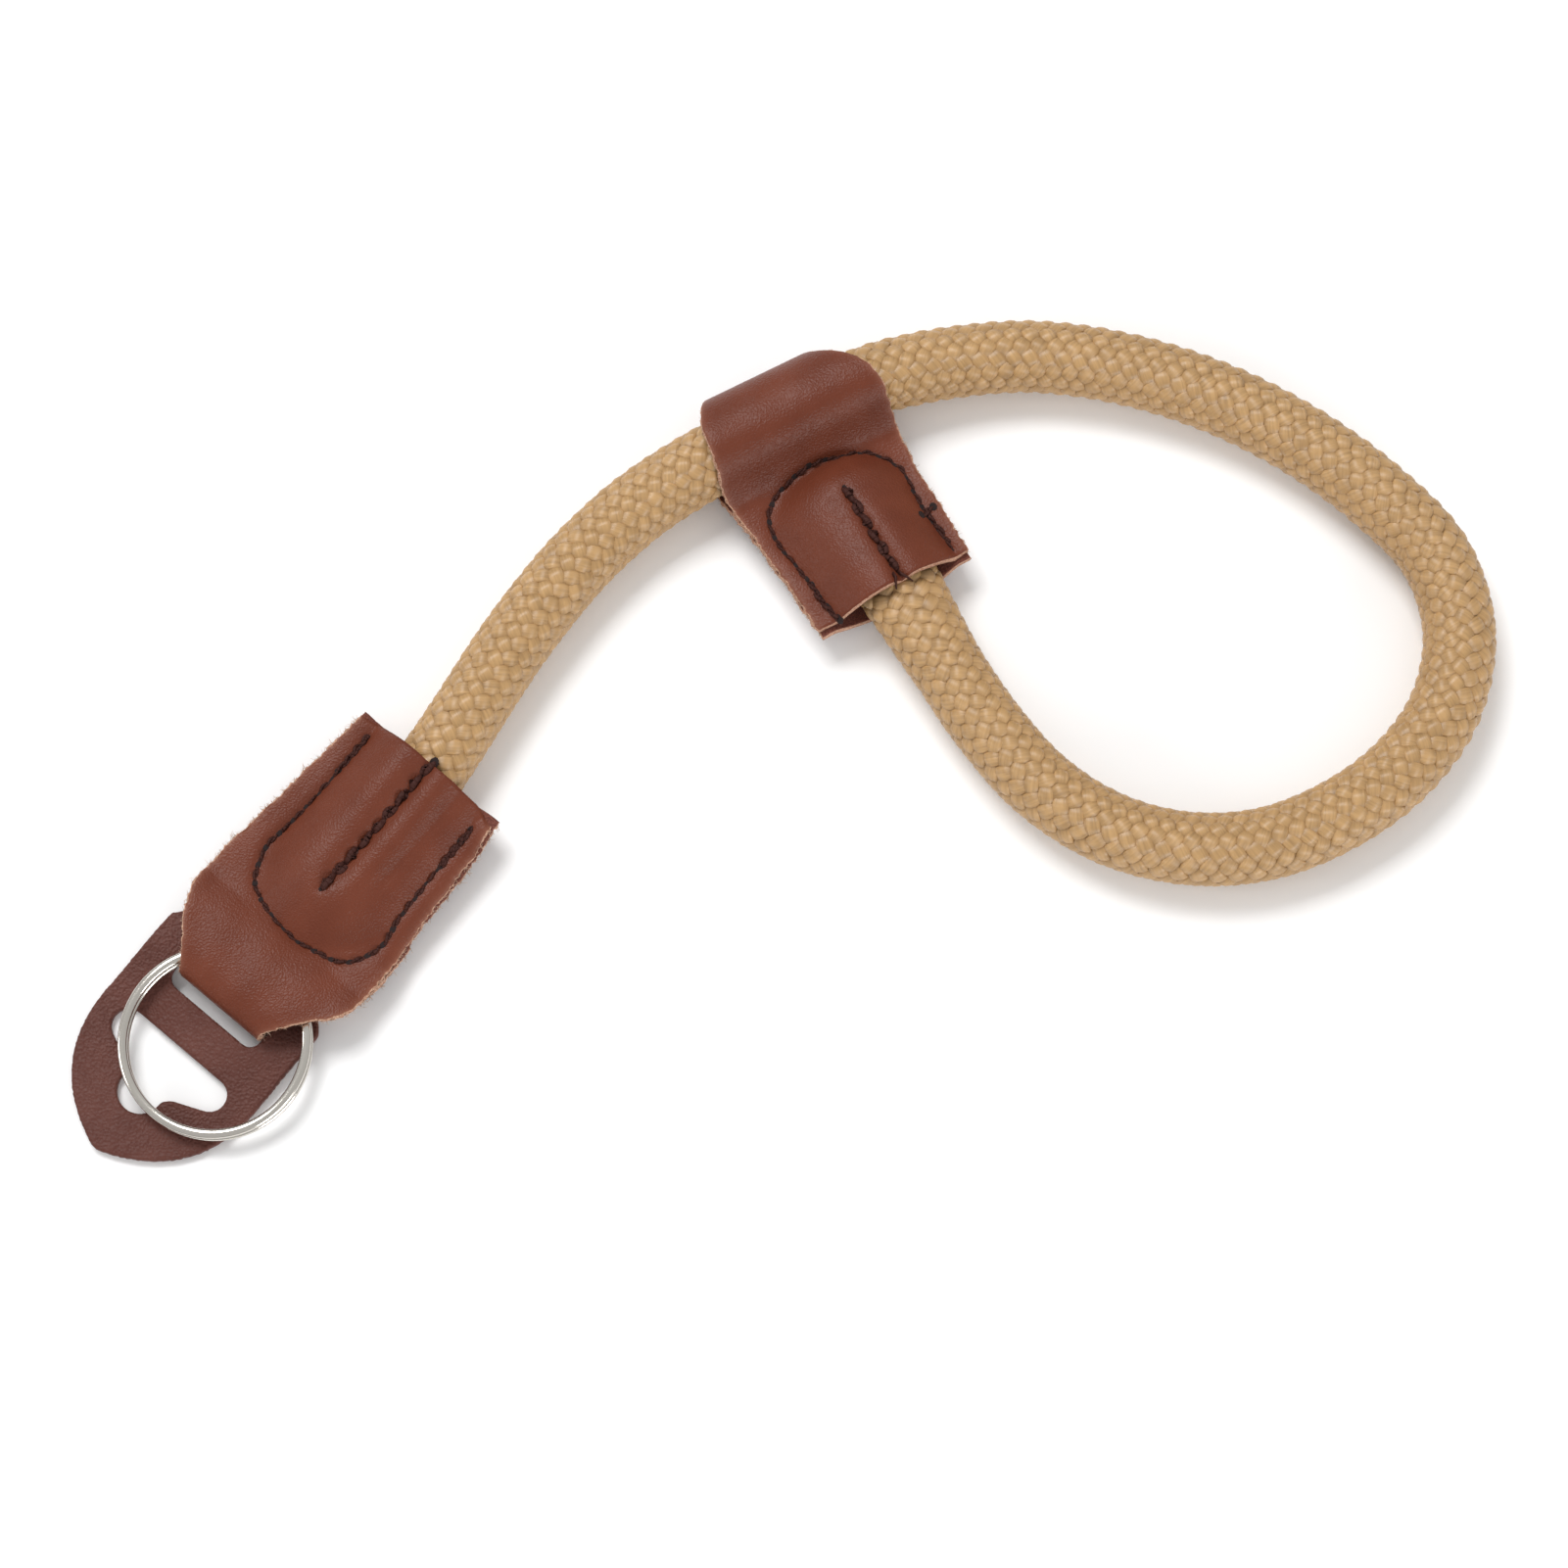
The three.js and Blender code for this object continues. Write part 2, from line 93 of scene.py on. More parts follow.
def light_room(strength, low, high):
    """A white room, dim near its floor and bright from a little way up its walls."""
    world = bpy.data.worlds.new("studio_room")
    world.use_nodes = True
    tree = world.node_tree
    new, link = tree.nodes.new, tree.links.new
    place, parts = new("ShaderNodeTexCoord"), new("ShaderNodeSeparateXYZ")
    walls = two_tone(tree, WALLS_DIM_TO, (low,) * 3, WALLS_BRIGHT_FROM, (high,) * 3)
    link(place.outputs["Generated"], parts.inputs["Vector"])
    link(parts.outputs["Z"], walls.inputs["Fac"])
    link(walls.outputs["Color"], tree.nodes["Background"].inputs["Color"])
    tree.nodes["Background"].inputs["Strength"].default_value = strength
    bpy.context.scene.world = world


def stand_camera(target, elevation, distance, lens):
    camera = bpy.data.cameras.new("camera")
    camera.lens = lens
    camera.sensor_width = 36
    camera.clip_start = 0.01
    stand = put_in_scene("camera", camera)
    tilt = math.radians(elevation)
    away = Vector((0, -math.cos(tilt), math.sin(tilt))) * distance
    stand.location = Vector(target) + away
    stand.rotation_euler = (-away).to_track_quat("-Z", "Y").to_euler()
    bpy.context.scene.camera = stand


lay_table(half_side=4.0, colour=(0.97, 0.97, 0.97))
light_room(strength=0.6, low=0.4, high=1.0)
hang_softbox("overhead_panel", place=(-0.38, 0.66, 1.22), size=(0.7, 0.5), power=12.8)
hang_softbox("front_panel", place=(0.7, -1.0, 0.42), size=(0.7, 0.3), power=7)
hang_softbox("left_panel", place=(-1.1, -0.1, 0.5), size=(0.4, 0.25), power=2)
stand_camera(target=(-0.9 * MM, -6.2 * MM, 0), elevation=76, distance=585.16 * MM, lens=100)
bpy.context.scene.view_settings.view_transform = "Standard"

# ---- Braided rope --------------------------------------------------------------------------
# A round braid of sixteen flat yarns, eight winding each way and passing over one and under
# one, about a plain core. It is one length: the lead and the wrist loop. Both ends are pressed
# flat and sewn into the leather.

ROPE_DIAMETER = 10
ROPE_ROUTE = [
    (-64.5, -25, 4.05), (-61, -20.8, 4.1), (-54.5, -13.2, 4.5), (-48.1, -5.5, 5.1),
    (-43.8, 1.3, 5), (-40.5, 6.8, 5), (-37.1, 12.2, 5), (-33.4, 17.4, 5),
    (-29.4, 22.5, 5), (-25.1, 27.1, 5), (-20.5, 31.2, 5.2), (-15.7, 34.5, 5.7),
    (-10.7, 37.4, 6.3), (-0.1, 43.2, 6.5), (10.7, 48.7, 6.35), (16, 50.4, 5.8),
    (21.5, 51.7, 5.2), (32.2, 52.7, 5), (42.8, 51.5, 5), (53.1, 48.7, 5),
    (62.8, 44.5, 5), (71.8, 39, 5), (80.1, 32.2, 5), (87, 24.2, 5), (89.8, 13.9, 5),
    (87.6, 3.2, 5), (81.2, -5.6, 5), (72.5, -11.9, 5), (62.7, -15.7, 5),
    (52.3, -16.2, 5), (42.3, -13.5, 5), (33.6, -7.8, 5), (26.7, 0.1, 5),
    (20.8, 9.2, 5), (15, 19.2, 5.3), (10.8, 26.2, 4.7), (6.3, 34, 3.9),
]
TAB_END_SECTION = [  # distance from the end, half width, half height
    (0, 3.6, 0.9), (5.5, 6.4, 2.1), (15.5, 6.1, 2.8), (25.5, 5.3, 3.6), (35, 5, 5),
]
SLIDER_END_SECTION = [
    (0, 4.4, 1.3), (5, 6.2, 2.3), (12, 6.2, 3.2), (17.5, 6, 3.85), (20.5, 5.7, 4.2),
    (30, 5, 5),
]
YARNS_EACH_WAY = 8
YARN_PITCH = 2.34  # along the rope, from one bead of a yarn's row to the next
YARN_HALF_WIDTH = 1.1
YARN_HALF_THICKNESS = 0.37
YARN_SWING = 0.25  # how far a yarn moves out and in as it passes over and under
# Painted light and shade: each yarn is painted paler on top of a bead and darker beneath one,
# where the weave shades it.
CROWN_PAINTED_LIGHT = 0.13  # how much paler a yarn is on top of a bead than beneath one
CROWN_THICKER = 0.2  # shares by which a yarn is thicker and wider on top of a bead
CROWN_WIDER = 0.05
CORE_SHARE = 0.78  # the core's size beside the rope's
END_SETBACK = 0.6  # how far the yarns stop short of the rope's ends
STEPS_PER_CROSSING = 5
YARN_SECTION = [(-1, -0.6), (-0.86, 0.35), (-0.5, 0.8), (0, 1), (0.5, 0.8), (0.86, 0.35),
                (1, -0.6), (0, -0.8)]


def between(rows, column, at):
    """A table's column at the places "at", on a smooth curve through every row."""
    table = np.array(rows, float)
    key, value = table[:, 0], table[:, column]
    at = np.clip(np.asarray(at, float), key[0], key[-1])
    slope = np.empty_like(value)
    slope[1:-1] = (value[2:] - value[:-2]) / (key[2:] - key[:-2])
    slope[0] = (value[1] - value[0]) / (key[1] - key[0])
    slope[-1] = (value[-1] - value[-2]) / (key[-1] - key[-2])
    i = np.clip(np.searchsorted(key, at, side="right") - 1, 0, len(key) - 2)
    span = key[i + 1] - key[i]
    t = (at - key[i]) / span
    rise = t * t * (3 - 2 * t)
    pull = t * (1 - t) ** 2 * slope[i] - t * t * (1 - t) * slope[i + 1]
    return value[i] + (value[i + 1] - value[i]) * rise + pull * span


def smooth_route(points, per_span=24):
    """Closely spaced places along a smooth curve through the points."""
    points = [np.array(p, float) for p in points]
    ends = [2 * points[0] - points[1], *points, 2 * points[-1] - points[-2]]
    places = []
    for p0, p1, p2, p3 in zip(ends, ends[1:], ends[2:], ends[3:]):
        a, b, c = [np.linalg.norm(q - p) ** 0.5 for p, q in ((p0, p1), (p1, p2), (p2, p3))]
        leave = ((p1 - p0) / a - (p2 - p0) / (a + b) + (p2 - p1) / b) * b
        arrive = ((p2 - p1) / b - (p3 - p1) / (b + c) + (p3 - p2) / c) * b
        for t in np.arange(per_span) / per_span:
            place = p1 + (p2 - p1) * t * t * (3 - 2 * t)
            places.append(place + leave * t * (1 - t) ** 2 - arrive * t * t * (1 - t))
    return np.array([*places, points[-1]])


def lengths_along(places):
    steps = np.linalg.norm(np.diff(places, axis=0), axis=1)
    return np.concatenate([[0], np.cumsum(steps)])


def unit(vectors):
    return vectors / np.linalg.norm(vectors, axis=-1, keepdims=True)


class RopeLine:
    """The rope's centre line, with the directions to its side and up at every place."""

    def __init__(self):
        self.places = smooth_route(ROPE_ROUTE)
        self.along = lengths_along(self.places)
        self.length = self.along[-1]
        half_height = self.section(self.along)[1]
        self.places[:, 2] = np.maximum(self.places[:, 2], half_height)
        self.ahead = np.gradient(self.places, self.along, axis=0)

    def section(self, x):
        from_slider = self.length - x
        near_tab = x < TAB_END_SECTION[-1][0]
        near_slider = from_slider < SLIDER_END_SECTION[-1][0]
        sizes = []
        for column in (1, 2):
            size = np.full_like(x, ROPE_DIAMETER / 2)
            size[near_tab] = between(TAB_END_SECTION, column, x[near_tab])
            size[near_slider] = between(SLIDER_END_SECTION, column, from_slider[near_slider])
            sizes.append(size)
        return sizes

    def frame(self, x):
        centre, forward = [
            np.stack([np.interp(x, self.along, values[:, k]) for k in range(3)], 1)
            for values in (self.places, self.ahead)]
        side = unit(np.cross(forward, (0, 0, 1)))
        return centre, side, unit(np.cross(side, forward))


def add_piece(name, places, faces, materials, face_material=None, uv=None, marks=None):
    """A mesh from places in millimetres; uv and marks hold one row for each place."""
    mesh = bpy.data.meshes.new(name)
    mesh.from_pydata((np.asarray(places) * MM).tolist(), [], faces)
    for material in materials:
        mesh.materials.append(material)
    if face_material is not None:
        mesh.polygons.foreach_set("material_index", np.asarray(face_material, np.int32))
    if uv is not None:
        corners = np.empty(len(mesh.loops), np.int32)
        mesh.loops.foreach_get("vertex_index", corners)
        layer = mesh.uv_layers.new(name="across_and_along")
        layer.data.foreach_set("uv", np.asarray(uv, np.float32)[corners].ravel())
    if marks is not None:
        layer = mesh.color_attributes.new("marks", "FLOAT_COLOR", "POINT")
        layer.data.foreach_set("color", np.asarray(marks, np.float32).ravel())
    mesh.polygons.foreach_set("use_smooth", np.ones(len(mesh.polygons), bool))
    mesh.update()
    piece = put_in_scene(name, mesh)
    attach(piece, "root")
    return piece


class Tubes:
    """Gathers closed tubes, each a row of rings of places, into one mesh."""

    def __init__(self):
        self.places, self.faces, self.uv, self.face_material, self.count = [], [], [], [], 0

    def add(self, rings, uv=None, material=0):
        steps, sides = rings.shape[:2]
        i, j = np.meshgrid(np.arange(steps - 1), np.arange(sides), indexing="ij")
        a = self.count + i * sides + j
        b = self.count + i * sides + (j + 1) % sides
        faces = np.stack([a, b, b + sides, a + sides], -1).reshape(-1, 4).tolist()
        first = [self.count + j for j in range(sides)]
        faces.append(first[::-1])
        faces.append([c + (steps - 1) * sides for c in first])
        self.faces += faces
        self.face_material += [material] * len(faces)
        self.places.append(rings.reshape(-1, 3))
        self.uv.append(np.zeros((steps * sides, 2)) if uv is None else uv.reshape(-1, 2))
        self.count += steps * sides

    def piece(self, name, materials):
        return add_piece(name, np.concatenate(self.places), self.faces, materials,
                         self.face_material, np.concatenate(self.uv))


def braid_yarn(line, x, start_angle, way, wander, fatness):
    """Rings of places round one yarn, wound "way" (1 or -1) round the rope's line."""
    centre, side, lift = line.frame(x)
    half_width, half_height = line.section(x)
    round_half = ROPE_DIAMETER / 2
    angle = start_angle + way * 2 * math.pi * x / (YARNS_EACH_WAY * YARN_PITCH) + wander
    over = way * np.cos(2 * math.pi * x / YARN_PITCH)
    pressed = np.sqrt(half_height / round_half)
    thick = YARN_HALF_THICKNESS * (1 + CROWN_THICKER * over) * fatness * pressed
    middle = round_half - YARN_HALF_THICKNESS * (1 + CROWN_THICKER) - YARN_SWING
    radius = middle + YARN_SWING * over
    wide_out = np.cos(angle) * half_width / round_half
    high_out = np.sin(angle) * half_height / round_half
    outward = side * wide_out[:, None] + lift * high_out[:, None]
    path = centre + outward * radius[:, None]
    forward = unit(np.gradient(path, axis=0))
    normal = side * (np.cos(angle) * half_height)[:, None]
    normal = normal + lift * (np.sin(angle) * half_width)[:, None]
    normal = unit(normal - forward * np.sum(normal * forward, axis=1, keepdims=True))
    across = np.cross(forward, normal)
    wide = YARN_HALF_WIDTH * (1 + CROWN_WIDER * over) * fatness
    return np.stack([path + across * (wide * u)[:, None] + normal * (thick * v)[:, None]
                     for u, v in YARN_SECTION], 1)


def add_noise(tree, place, scale, detail):
    noise = tree.nodes.new("ShaderNodeTexNoise")
    noise.inputs["Scale"].default_value = scale
    noise.inputs["Detail"].default_value = detail
    tree.links.new(place, noise.inputs["Vector"])
    return noise


def streaks(tree, stretch, detail):
    """Streaks that run along a yarn or wire; "stretch" is how many to a step each way."""
    place, mapping = tree.nodes.new("ShaderNodeUVMap"), tree.nodes.new("ShaderNodeMapping")
    place.uv_map = "across_and_along"
    mapping.inputs["Scale"].default_value = stretch
    tree.links.new(place.outputs["UV"], mapping.inputs["Vector"])
    return add_noise(tree, mapping.outputs["Vector"], 1, detail).outputs["Fac"]


def raise_grain(tree, shader, height, depth, strength=1):
    """Feeds a height to the shader as bumps, "depth" millimetres deep."""
    bump = tree.nodes.new("ShaderNodeBump")
    bump.inputs["Distance"].default_value = depth * MM
    bump.inputs["Strength"].default_value = strength
    tree.links.new(height, bump.inputs["Height"])
    tree.links.new(bump.outputs["Normal"], shader.inputs["Normal"])


def yarn_material():
    """Khaki tan yarn: fine fibres run along each strand, some darker, some catching light; each
    yarn is painted paler on top of a bead and darker where it dives under, as painted light and
    shade.
    """
    material, tree, shader = new_material("khaki_yarn", roughness=0.43)
    shader.inputs["Specular IOR Level"].default_value = 0.68
    shader.inputs["Anisotropic"].default_value = 0.85
    new, link = tree.nodes.new, tree.links.new
    round_fibres = new("ShaderNodeTangent")
    round_fibres.direction_type = "UV_MAP"
    round_fibres.uv_map = "across_and_along"
    link(round_fibres.outputs["Tangent"], shader.inputs["Tangent"])
    fibres = streaks(tree, (3.6, 0.2, 1), 3)
    clumps = streaks(tree, (0.8, 0.33, 1), 1)
    blend = new("ShaderNodeMix")
    blend.data_type = "FLOAT"
    blend.inputs["Factor"].default_value = 0.45
    link(fibres, blend.inputs["A"])
    link(clumps, blend.inputs["B"])
    place, parts = new("ShaderNodeUVMap"), new("ShaderNodeSeparateXYZ")
    place.uv_map = "across_and_along"
    # Painted light and shade: a wave along each yarn, in step with its beads, paints it paler on
    # top of a bead and darker beneath one.
    phase, crown_light_and_shade, paler = [new("ShaderNodeMath") for _ in range(3)]
    phase.operation, crown_light_and_shade.operation, paler.operation = "MULTIPLY", "COSINE", "MULTIPLY_ADD"
    phase.inputs[1].default_value = math.pi / YARN_PITCH
    paler.inputs[1].default_value = CROWN_PAINTED_LIGHT
    tone = two_tone(tree, 0.28, (0.24, 0.135, 0.05), 0.72, (0.495, 0.298, 0.126))
    link(place.outputs["UV"], parts.inputs["Vector"])
    link(parts.outputs["Y"], phase.inputs[0])
    link(phase.outputs["Value"], crown_light_and_shade.inputs[0])
    link(crown_light_and_shade.outputs["Value"], paler.inputs[0])
    link(blend.outputs["Result"], paler.inputs[2])
    link(paler.outputs["Value"], tone.inputs["Fac"])
    link(tone.outputs["Color"], shader.inputs["Base Color"])
    raise_grain(tree, shader, fibres, depth=0.16, strength=0.6)
    return material


rope_line = RopeLine()
rope_rng = np.random.default_rng(11)
khaki_yarn = yarn_material()


def braid_half(name, way):
    """The eight yarns that wind one way."""
    step = YARN_PITCH / 2 / STEPS_PER_CROSSING
    x = np.arange(END_SETBACK, rope_line.length - END_SETBACK, step)
    winding = Tubes()
    for k in range(YARNS_EACH_WAY):
        wander = np.interp(x, np.arange(0, 340, 5.0), rope_rng.normal(0, 0.01, 68))
        fatness = np.interp(x, np.arange(0, 340, 1.3), rope_rng.normal(1, 0.03, 262))
        start = 2 * math.pi * k / YARNS_EACH_WAY
        rings = braid_yarn(rope_line, x, start, way, wander, fatness)
        across = np.tile([u for u, _ in YARN_SECTION], (len(x), 1)) + 7.3 * k + 90 * way
        twice_along = 2 * x + (YARN_PITCH if way < 0 else 0)
        uv = np.stack([across, np.repeat(twice_along[:, None], len(YARN_SECTION), 1)], -1)
        winding.add(rings, uv)
    if way < 0:
        core_x = np.linspace(0.5, rope_line.length - 0.5, 160)
        centre, side, lift = rope_line.frame(core_x)
        half_width, half_height = rope_line.section(core_x)
        turn = 2 * math.pi * np.arange(12) / 12
        aside = CORE_SHARE * half_width[:, None] * np.cos(turn)
        raised = CORE_SHARE * half_height[:, None] * np.sin(turn)
        winding.add(centre[:, None] + side[:, None] * aside[..., None]
                    + lift[:, None] * raised[..., None])
    return winding.piece(name, [khaki_yarn])


right_yarns = braid_half("rope_right_hand_yarns", 1)
left_yarns = braid_half("rope_left_hand_yarns", -1)
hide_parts("rope")

# ---- Split ring ----------------------------------------------------------------------------
# One length of rolled nickel-plated steel wire wound twice, so that its two coils spring
# shut on each other. It hangs in the fold of the ring tab and clips on the camera's lug.

TAB_MOUTH = (-48.1, -5.5)
TAB_HEADING = -130
RING_OUTER_DIAMETER = 25.7
RING_WIRE_WIDTH = 1.3
RING_COIL_HEIGHT = 0.95
RING_COIL_GAP = 0.1
RING_CROSSOVER = 28  # degrees over which the wire passes from coil to coil
RING_COIL_STEP = (0.06, 0.18)  # how far the lower coil lies aside of the upper one
RING_START = 200
RING_TILT = 4
RING_CENTRE = (45.8, 2.3, 3.48)  # from the ring tab's mouth
RING_END_TAPER = 0.3  # share by which the wire thins over its last 1.2 degrees


def from_strip(mouth, heading, places):
    """Places in a leather strip's own s, v and height, moved to where the strip lies."""
    turn = math.radians(heading)
    s, v, z = np.moveaxis(np.asarray(places, float), -1, 0)
    x = mouth[0] + s * math.cos(turn) - v * math.sin(turn)
    y = mouth[1] + s * math.sin(turn) + v * math.cos(turn)
    return np.stack([x, y, z], -1)


def smoothstep(low, high, value):
    t = np.clip((value - low) / (high - low), 0, 1)
    return t * t * (3 - 2 * t)


def nickel_material():
    """Bright nickel plate with faint drawing marks and fine scratches."""
    material, tree, shader = new_material("nickel_plate", (0.66, 0.625, 0.57), 0.16)
    shader.inputs["Metallic"].default_value = 1
    new, link = tree.nodes.new, tree.links.new
    marks = streaks(tree, (2.2, 0.03, 1), 4)
    spread = new("ShaderNodeMapRange")
    spread.inputs["To Min"].default_value = 0.1
    spread.inputs["To Max"].default_value = 0.2
    link(marks, spread.inputs["Value"])
    link(spread.outputs["Result"], shader.inputs["Roughness"])
    return material


def wind_ring():
    steps, sides = 720, 24
    radius = (RING_OUTER_DIAMETER - RING_WIRE_WIDTH) / 2
    whole_turn = 720 - RING_CROSSOVER
    turned = np.linspace(0, whole_turn, steps)
    crossing = smoothstep(360 - RING_CROSSOVER, 360, turned)
    z = (RING_COIL_HEIGHT + RING_COIL_GAP) * (crossing - 0.5)
    around = 2 * math.pi * (np.arange(sides) + 0.5) / sides

    def rolled(value):
        return np.sign(value) * np.abs(value) ** 0.95

    from_end = np.minimum(turned, whole_turn - turned)
    taper = 1 - RING_END_TAPER * (1 - smoothstep(0, 1.2, from_end))
    out = radius + rolled(np.cos(around)) * (RING_WIRE_WIDTH / 2) * taper[:, None]
    lift = z[:, None] + rolled(np.sin(around)) * (RING_COIL_HEIGHT / 2) * taper[:, None]
    angle = np.radians(RING_START + turned)[:, None]
    tilt = math.radians(RING_TILT)
    aside = (1 - crossing)[:, None]
    s = out * np.cos(angle) + RING_COIL_STEP[0] * aside
    v = out * np.sin(angle) + RING_COIL_STEP[1] * aside
    rings = np.stack([RING_CENTRE[0] + s * math.cos(tilt) + lift * math.sin(tilt),
                      RING_CENTRE[1] + v,
                      RING_CENTRE[2] - s * math.sin(tilt) + lift * math.cos(tilt)], -1)
    uv = np.stack([np.broadcast_to(around, rings.shape[:2]),
                   np.broadcast_to(np.radians(turned)[:, None] * radius, rings.shape[:2])], -1)
    wire = Tubes()
    wire.add(from_strip(TAB_MOUTH, TAB_HEADING, rings), uv)
    return wire.piece("split_ring_wire", [nickel_material()])


ring = wind_ring()
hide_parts("split_ring")

# ---- Camera guard --------------------------------------------------------------------------
# A die-cut piece of firm pebbled leather that keeps the ring off the camera body. The ring
# tab's fold passes through its slot, and its mushroom-shaped hole goes over the strap lug.

GUARD_MIDDLE = -1
GUARD_HALF_WIDTH = 13
GUARD_THICKNESS = 1.2
GUARD_SLOT_CORNER = 1.6
GUARD_LOBE_RADIUS = 2.25  # the hole's two small lobes, and its round bulb
GUARD_BULB_RADIUS = 3.15
GUARD_EDGE_ROUGHNESS = 0.03
GUARD_MESH_STEP = 0.45
GUARD_UNDERSIDE = [  # distance from the ring tab's mouth, height of the underside
    (32, 1.4), (40, 1.4), (43, 1.02), (46, 0.52), (49, 0.14), (51.5, 0.02), (68, 0.02),
]
GUARD_EDGE = [  # rows down a cut edge: how far in from the outline, how far down
    (0.34, 0), (0.12, 0.05), (0.01, 0.2), (-0.02, 0.5), (0.0, 0.85), (0.1, 1.08), (0.3, 1.2),
]


def arc(centre, radius, start, end, steps):
    turn = np.radians(np.linspace(start, end, steps))
    return [(centre[0] + radius * math.cos(a), centre[1] + radius * math.sin(a)) for a in turn]


def bend(start, control, end, steps):
    """A curve that leaves its start for the control point and arrives from it."""
    return [tuple((1 - t) ** 2 * np.array(start) + 2 * t * (1 - t) * np.array(control)
                  + t * t * np.array(end)) for t in np.linspace(0, 1, steps)]


def guard_loops():
    mid, wide = GUARD_MIDDLE, GUARD_HALF_WIDTH
    outline = [(33.4, mid - 10.2), (36.4, mid - wide)]
    outline += bend((49.5, mid - wide), (61.8, mid - wide), (66.3, mid - 0.5), 30)
    outline += bend((66.3, mid + 0.5), (61.8, mid + wide), (49.5, mid + wide), 30)
    outline += [(36.4, mid + wide), (33.4, mid + 10.2)]
    slot = [(38.6, mid - 7.6), (38.6, mid + 7.6)]
    slot += arc((42, mid + 6), GUARD_SLOT_CORNER, 90, 0, 10)
    slot += arc((42, mid - 6), GUARD_SLOT_CORNER, 0, -90, 10)
    hole = arc((51.35, mid - 7.55), GUARD_LOBE_RADIUS, 180, 336, 18) + [(55.2, mid - 4.3)]
    hole += arc((56.75, mid - 0.45), GUARD_BULB_RADIUS, -100, 100, 24)
    hole += [(55.2, mid + 3.6)] + arc((51.35, mid + 7), GUARD_LOBE_RADIUS, 24, 180, 18)
    return outline, slot, hole


def even_loop(loop, spacing, rounding):
    """The closed loop resampled evenly, its corners eased."""
    loop = np.array([*loop, loop[0]], float)
    along = lengths_along(loop)
    count = int(along[-1] / spacing)
    at = np.arange(count) * along[-1] / count
    places = np.stack([np.interp(at, along, loop[:, k]) for k in range(2)], 1)
    for _ in range(rounding):
        places = 0.5 * places + 0.25 * (np.roll(places, 1, 0) + np.roll(places, -1, 0))
    return places


def loop_outward(loop, clockwise_hole):
    ahead = unit(np.roll(loop, -1, 0) - np.roll(loop, 1, 0))
    outward = np.stack([ahead[:, 1], -ahead[:, 0]], 1)
    x, y = loop[:, 0], loop[:, 1]
    area = np.sum(x * np.roll(y, -1) - np.roll(x, -1) * y) / 2
    return outward * math.copysign(1, area) * (-1 if clockwise_hole else 1)


def inside(loop, places):
    """Which of the places lie inside the closed loop."""
    x, y = places[:, :1], places[:, 1:2]
    x0, y0 = loop[:, 0], loop[:, 1]
    x1, y1 = np.roll(x0, -1), np.roll(y0, -1)
    crosses = (y0 > y) != (y1 > y)
    meets = x0 + (y - y0) / np.where(y1 == y0, 1e-9, y1 - y0) * (x1 - x0)
    return np.sum(crosses & (x < meets), axis=1) % 2 == 1


def leather_grain_group():
    """Grain of finished leather: pebbles and creases as a height, and a slow change of tone."""
    group = bpy.data.node_groups.new("leather_grain", "ShaderNodeTree")
    for name, way in (("Pebbles per mm", "INPUT"), ("Crease share", "INPUT"),
                      ("Height", "OUTPUT"), ("Tone", "OUTPUT")):
        group.interface.new_socket(name, in_out=way, socket_type="NodeSocketFloat")
    new, link = group.nodes.new, group.links.new
    given, result = new("NodeGroupInput"), new("NodeGroupOutput")
    place = new("ShaderNodeTexCoord")
    in_mm = new("ShaderNodeVectorMath")
    in_mm.operation = "SCALE"
    in_mm.inputs["Scale"].default_value = 1000
    link(place.outputs["Object"], in_mm.inputs[0])
    cells = new("ShaderNodeTexVoronoi")
    cells.feature = "SMOOTH_F1"
    link(in_mm.outputs["Vector"], cells.inputs["Vector"])
    creases = add_noise(group, in_mm.outputs["Vector"], 1, 4)
    tone = add_noise(group, in_mm.outputs["Vector"], 0.16, 3)
    for pattern in (cells, creases):
        link(given.outputs["Pebbles per mm"], pattern.inputs["Scale"])
    mix = new("ShaderNodeMix")
    mix.data_type = "FLOAT"
    link(given.outputs["Crease share"], mix.inputs["Factor"])
    link(cells.outputs["Distance"], mix.inputs["A"])
    link(creases.outputs["Fac"], mix.inputs["B"])
    link(mix.outputs["Result"], result.inputs["Height"])
    link(tone.outputs["Fac"], result.inputs["Tone"])
    return group


leather_grain = leather_grain_group()


def leather_material(name, dark, light, roughness, pebbles, crease, depth):
    """Dyed leather whose tone shifts slowly, with its own size and depth of grain."""
    material, tree, shader = new_material(name, roughness=roughness)
    shader.inputs["Specular IOR Level"].default_value = 0.2
    grain = tree.nodes.new("ShaderNodeGroup")
    grain.node_tree = leather_grain
    grain.inputs["Pebbles per mm"].default_value = pebbles
    grain.inputs["Crease share"].default_value = crease
    tone = two_tone(tree, 0.3, dark, 0.7, light)
    tree.links.new(grain.outputs["Tone"], tone.inputs["Fac"])
    raise_grain(tree, shader, grain.outputs["Height"], depth)
    return material, tree, shader, tone.outputs["Color"]


def guard_material():
    material, tree, shader, tone = leather_material(
        "guard_pebbled_leather", dark=(0.094, 0.031, 0.023), light=(0.126, 0.045, 0.034),
        roughness=0.46, pebbles=2.8, crease=0.2, depth=0.24)
    tree.links.new(tone, shader.inputs["Base Color"])
    return material


